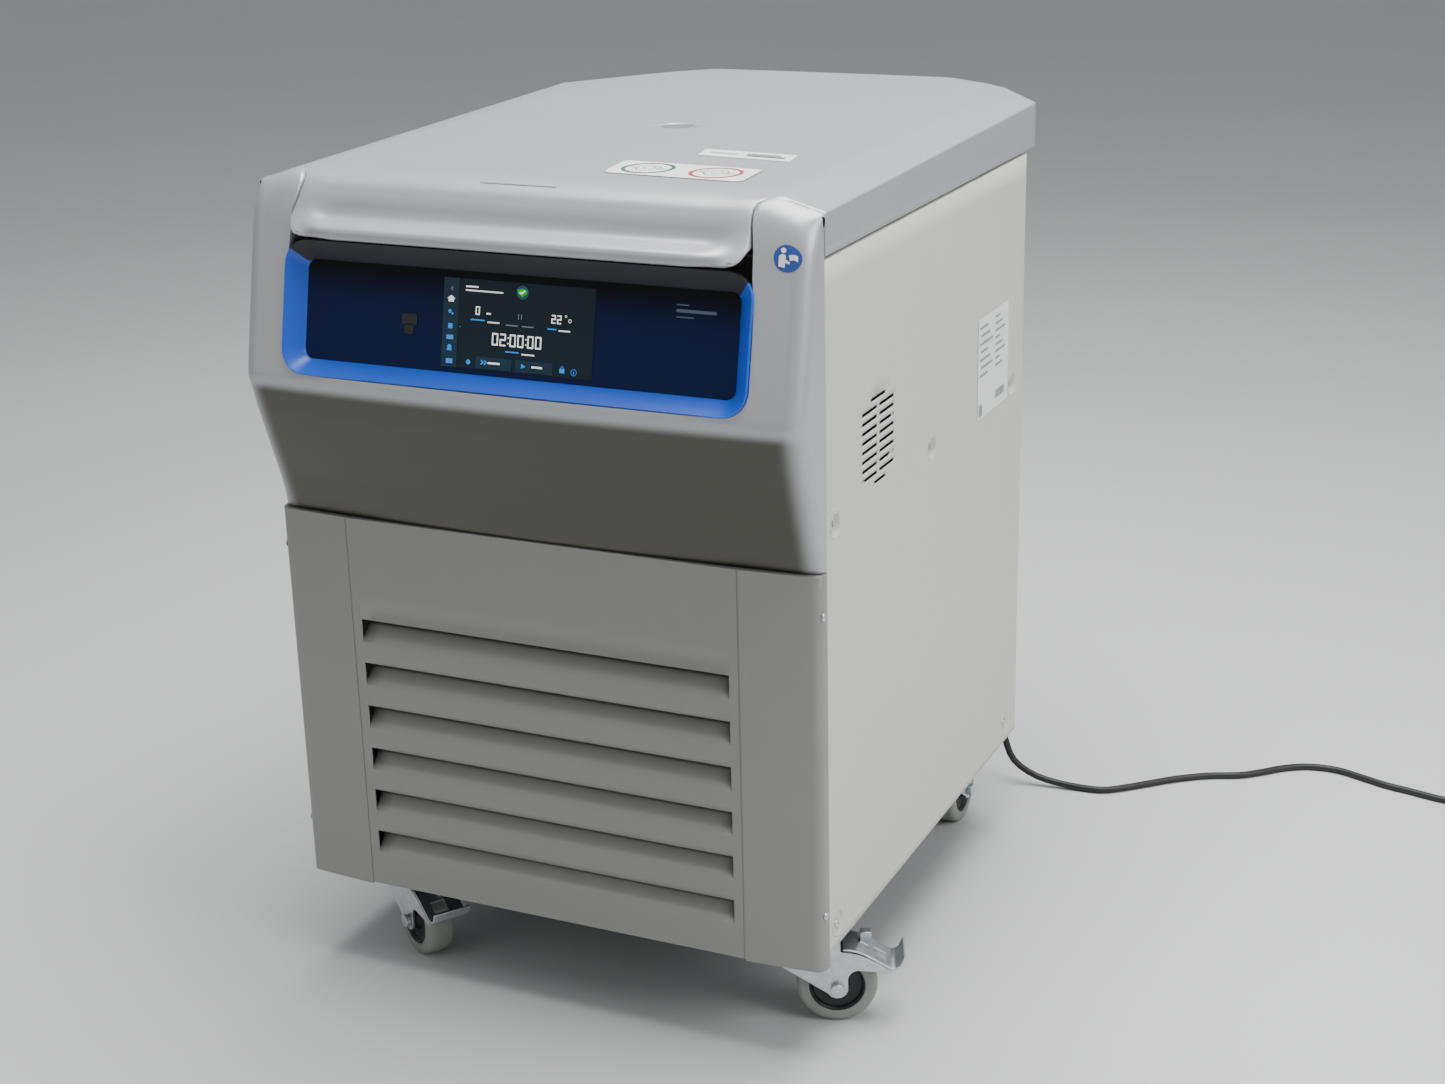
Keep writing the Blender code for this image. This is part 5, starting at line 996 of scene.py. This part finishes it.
def makeSides():
    # Each panel is a grid over depth and height whose lines fall on the vent edges, with a folded edge at the
    # front
    # and the back; the fold is a quarter circle. Round holes take the dished screw seats.
    vents = [(y0, y1, sides["ventZ"][0] - i * sides["ventZ"][1]) for y0,
             y1 in sides["ventY"] for i in range(sides["ventZ"][2])]
    vents += [(*sides["oddY"], sides["ventZ"][0] + sides["ventZ"][1]),
              (*sides["oddY"], sides["ventZ"][0] - sides["ventZ"][2] * sides["ventZ"][1])]
    tall = sides["ventZ"][3]
    r = sides["radius"]
    ys = [np.linspace(sides["front"] + r, sides["back"] - r, 40),
          np.array([v for y0, y1, z in vents for v in (y0, y1)])]
    zs = [np.linspace(sides["low"], sides["top"], 30),
          np.array([v for y0, y1, z in vents for v in (z, z - tall)])]
    ys += [y + np.linspace(-0.016, 0.016, 12) for y in sorted({d[0] for d in sides["dishes"]})]
    zs += [z + np.linspace(-0.016, 0.016, 12) for z in sorted({d[1] for d in sides["dishes"]})]
    ys = np.unique(np.round(np.concatenate(ys), 5))
    zs = np.unique(np.round(np.concatenate(zs), 5))
    ys = ys[np.concatenate([[True], np.diff(ys) > 0.0003])]
    zs = zs[np.concatenate([[True], np.diff(zs) > 0.0003])]
    turn = np.linspace(0, math.pi / 2, 5)
    frontFold = np.stack([halfWidth - r + r * np.cos(turn), sides["front"] + r - r * np.sin(turn)], -1)[::-1]
    frontFold = np.concatenate([[(halfWidth - sides["fold"], sides["front"])], frontFold])
    backFold = frontFold[::-1] * (1, -1) + (0, sides["front"] + sides["back"])
    ends = (ys > sides["front"] + r + 0.0003) & (ys < sides["back"] - r - 0.0003)
    path = np.concatenate([frontFold, np.stack([np.full(ends.sum(), halfWidth), ys[ends]], -1), backFold])
    for side, word in ((1, "right"), (-1, "left")):
        sheet = np.empty((len(zs), len(path), 3))
        sheet[..., 0] = side * path[:, 0]
        sheet[..., 1] = path[:, 1]
        sheet[..., 2] = zs[:, None]
        midY = (sheet[:-1, :-1, 1] + sheet[1:, 1:, 1]) / 2
        midZ = (sheet[:-1, :-1, 2] + sheet[1:, 1:, 2]) / 2
        keep = np.ones(midY.shape, bool)
        for y0, y1, z in vents:
            keep &= ~((midY > y0) & (midY < y1) & (midZ < z) & (midZ > z - tall))
        for centre in sides["dishes"]:
            keep = punchHole(sheet, [1, 2], centre, sides["dish"], keep)
        faces = gridFaces(*sheet.shape[:2], keep=keep)
        faces = faces if side > 0 else faces[:, ::-1]
        newPiece(f"{word}_side_sheet", sheet, faces, "cream", "machine", [f"{word}_side_panel"],
                 wall=sides["wall"], sharp=40)
        profile = [(0.0121, -0.0003), (0.0117, 0.0003), (0.0111, -0.0003), (0.0100, -0.0030), (0.0088, -0.0044),
                   (0.0070, -0.0048), (0.0040, -0.0049), (0.00001, -0.0049)]
        for count, (y, z) in enumerate(sides["dishes"]):
            # The lower dishes stand before the base frame's rails, so they are as shallow as the sheet is
            # thick.
            upper = z > sides["railTop"]
            floor = sides["dishDeep"] if upper else sides["dishShallow"]
            place = np.array(Matrix.Translation((side * halfWidth, y, z)) @ Matrix.Rotation(side * math.pi / 2,
                4, "Y"))
            points = latheGrid([(radius, deep if deep > -0.0005 else deep * floor / sides["dishDeep"])
                                for radius, deep in profile], 28, place)
            newPiece(f"{word}_screw_dish_{count + 1}", points, gridFaces(*points.shape[:2], wrap=True), "cream",
                     "machine")
            panScrew(f"{word}_dish_screw_{count + 1}",
                     place @ np.array(Matrix.Translation((0, 0, 0.0002 - floor))), 0.0046,
                     0.0024 if upper else 0.0014)
    print("side panels are folded")


makeSides()

wheels = {"radius": 0.040, "trail": 0.044, "angles": {"front_left": -33, "front_right": 23, "rear_left": 75,
                                                      "rear_right": 90},
          "pivotX": 0.222, "frontY": 0.081, "rearY": 0.515}


def makeWheels():
    # Tyre and hub are profiles turned about the axle: half of each is written, from the middle outwards
    tyre = [(0.0400, 0.0), (0.03995, 0.0060), (0.0396, 0.0098), (0.0386, 0.0126), (0.0366, 0.0143),
            (0.0340, 0.0149), (0.0290, 0.0149), (0.0277, 0.0146), (0.0276, 0.0)]
    hub = [(0.0274, 0.0), (0.0274, 0.0138), (0.0262, 0.0141), (0.0252, 0.0134), (0.0240, 0.0106),
           (0.0200, 0.0094), (0.0160, 0.0096), (0.0126, 0.0108), (0.0106, 0.0135), (0.0100, 0.0166),
           (0.0090, 0.0172), (0.0062, 0.0172), (0.0058, 0.0168), (0.0046, 0.0168), (0.0044, 0.0)]
    for place, angle in wheels["angles"].items():
        a = math.radians(angle)
        x = wheels["pivotX"] * (1 if "right" in place else -1) + wheels["trail"] * math.cos(a)
        y = (wheels["frontY"] if "front" in place else wheels["rearY"]) + wheels["trail"] * math.sin(a)
        axle = np.array(Matrix.Translation((x, y, wheels["radius"])) @ Matrix.Rotation(a, 4,
            "Z") @ Matrix.Rotation(-math.pi / 2, 4, "X"))
        for name, half, finish, slotName in (("tyre", tyre, "tyre", "tyre_rubber"),
                                             ("hub", hub, "nylon", "hub_plastic")):
            profile = half[::-1] + [(r, -w) for r, w in half[1:-1]]
            points = latheGrid(profile, 72, axle)
            points = np.concatenate([points, points[:1]])
            faces = gridFaces(*points.shape[:2], wrap=True)
            newPiece(f"caster_{place}_{name}_turned", points, faces, finish, f"{place}_wheel",
                     [f"caster_{place}_{name}"], sharp=32)
    print("wheels are turned")


makeWheels()

# Inner and rear parts keep the CAD's shapes, with broken edges and their real finishes.
plainParts = {
    "base_frame": ("enamel", 0.0008), "rear_panel": ("grey", 0.0006), "rear_hood": ("grey", 0.0012),
    "top_deck": ("cream", 0.0006), "chamber_bowl": ("steel", 0.0005), "chamber_gasket": ("seal", 0.0010),
    "lid_liner": ("silver", 0.0005), "hinge_shaft": ("zinc", 0.0005), "sight_port": ("acrylic", 0.0010),
    "lid_striker": ("zinc", 0.0004), "hinge_bracket_left": ("zinc", 0.0006),
    "hinge_bracket_right": ("zinc", 0.0006), "latch_hook": ("zinc", 0.0005), "drive_motor": ("enamel", 0.0015),
    "drive_spindle": ("zinc", 0.0004), "rotor_body": ("aluminium", 0.0012), "rotor_knob": ("aluminium", 0.0008),
    "compressor": ("enamel", 0.0020), "condenser": ("aluminium", 0.0004), "fan_shroud": ("black", 0.0008),
    "condenser_fan": ("black", 0.0005), "power_module": ("enamel", 0.0010), "mains_switch": ("black", 0.0005),
    "cord_gland": ("black", 0.0005),
}
plainParts.update({f"bucket_{i}": ("aluminium", 0.0006) for i in range(1, 5)})
plainParts.update({f"caster_{place}_{part}": ("zinc", 0.0005) for place in wheels["angles"]
                   for part in ("plate", "fork", "axle")})
plainParts.update({f"caster_{place}_brake": ("zinc", 0.0005) for place in ("front_left", "front_right")})
for node, (finish, width) in plainParts.items():
    bevelledCopy(node, finish, width)
frame["nodes"]["display_glass"].data.materials[0] = finishes["glass"]
print("inner and rear parts are finished:", len(plainParts))

labels = {"warning": ((0.051, 0.072), (0.190, 0.065), (0.186, 0.125), (0.042, 0.133)),
          "strip": ((0.094, 0.181), (0.192, 0.171), (0.185, 0.206), (0.088, 0.213)),
          "arm": (0.2655, 0.784, 0.0125), "plate": (0.437, 0.522, 0.537, 0.630)}


def makeLabels():
    def onLid(u, v, up):
        return np.stack([u, v, lidTop(u, v) + up], -1)

    def onArm(u, v, up):
        flat = halfWidth - console["corner"]
        reach = labels["arm"][0] + u
        column = np.where(reach < flat, reach / flat, 1 + (reach - flat) / (console["corner"] * math.pi / 2))
        spot = consoleFace(column, labels["arm"][1] + v)
        turn = np.clip(column - 1, 0, 1) * math.pi / 2
        return spot + np.stack([up * np.sin(turn), -up * np.cos(turn), 0 * turn], -1)

    def onSide(u, v, up):
        return np.stack([halfWidth + up + 0 * u, u, v], -1)

    def between(corners, x, y):
        a, b, c, d = (np.array(p) for p in corners)
        return (a * (1 - x) + b * x) * (1 - y) + (d * (1 - x) + c * x) * y

    def patch(corners, x0, y0, x1, y1, r=0.0):
        loop = roundedLoop((x0 * 0.14, y0 * 0.06), (x1 * 0.14, y1 * 0.06), max(r, 0.0004), 5, 6) / (0.14, 0.06)
        return np.array([between(corners, *p) for p in loop])

    w = labels["warning"]
    flatPiece("lid_label_rim", [patch(w, -0.008, -0.018, 1.008, 1.018, 0.0090)], "greyInk", 1, onLid,
              "lid")
    flatPiece("lid_label", [patch(w, 0, 0, 1, 1, 0.0080)], "white", 1.6, onLid, "lid")
    left, right = between(w, 0.255, 0.5), between(w, 0.745, 0.5)
    flatPiece("lid_label_green", [ring(*left, 0.0250, 0.0036, 48)], "greenInk", 2.3, onLid,
              "lid")
    flatPiece("lid_label_red", [ring(*right, 0.0250, 0.0036, 48)], "redInk", 2.3, onLid,
              "lid")
    greys = []
    for mid in (left, right):
        greys += [ring(*mid, 0.0120, 0.0010, 32), ring(*(mid + (0.001, 0.001)), 0.0060, 0.0009, 24),
                  rect(mid[0] - 0.017, mid[1] - 0.0008, mid[0] - 0.0125, mid[1] + 0.0008, 0.0004),
                  rect(mid[0] + 0.0125, mid[1] - 0.0008, mid[0] + 0.0175, mid[1] + 0.0008, 0.0004)]
    s = labels["strip"]
    greys += [patch(s, 0.50, 0.30, 0.92, 0.44), patch(s, 0.50, 0.56, 0.86, 0.66),
              patch(s, 0.10, 0.42, 0.40, 0.50)]
    flatPiece("lid_strip", [patch(s, 0, 0, 1, 1, 0.0010)], "white", 1, onLid, "lid")
    flatPiece("lid_label_marks", greys, "greyInk", 3, onLid, "lid")
    # A narrow slot in the roll of the lid's nose, right of the middle line it crosses
    def onNose(u, v, up):
        return np.stack([u, 0.0180 + 0.945 * v - 0.326 * up, 0.8258 + 0.326 * v + 0.945 * up], -1)

    flatPiece("lid_slot", [rect(-0.0445, -0.0009, 0.0325, 0.0009, 0.0008)], "greyInk", 1, onNose,
              "lid")
    # A round instruction sign: a reader's head and shoulders with an open book, in plain shapes
    flatPiece("manual_sign", [disc(0, 0, labels["arm"][2], 40)], "blueInk", 1, onArm)
    reader = [disc(-0.0040, 0.0070, 0.0024, 20),
              [(-0.0075, -0.0075), (-0.0020, -0.0085), (-0.0018, -0.0040), (0.0020, -0.0052), (0.0024, -0.0030),
               (-0.0016, -0.0010), (-0.0018, 0.0030), (-0.0050, 0.0038), (-0.0078, 0.0015)],
              [(0.0022, -0.0018), (0.0052, -0.0008), (0.0052, 0.0045), (0.0010, 0.0032)],
              [(0.0056, -0.0008), (0.0092, -0.0022), (0.0086, 0.0032), (0.0056, 0.0045)]]
    flatPiece("manual_sign_reader", reader, "white", 2, onArm)
    y0, z0, y1, z1 = labels["plate"]
    flatPiece("rating_label", [rect(y0, z0, y1, z1, 0.0020)], "white", 1, onSide)
    rows = [rect(y0 + 0.005 + 0.004 * (i % 2), z1 - 0.012 - i * 0.0085, y0 + 0.030 + 0.008 * (i % 3),
                 z1 - 0.0095 - i * 0.0085, 0.0005) for i in range(7)]
    rows += [rect(y0 + 0.055, z1 - 0.010 - i * 0.0075, y0 + 0.070 + 0.009 * (i % 3), z1 - 0.0078 - i * 0.0075,
                  0.0005) for i in range(8)]
    rows += [rect(y0 + 0.004, z0 + 0.003, y0 + 0.014, z0 + 0.015, 0.0006)] + [rect(y0 + 0.058 + i * 0.0034,
        z0 + 0.010, y0 + 0.0597 + i * 0.0034, z0 + 0.019, 0.0003) for i in range(9)]
    flatPiece("rating_label_print", rows, "greyInk", 2, onSide)
    print("labels are on")


makeLabels()
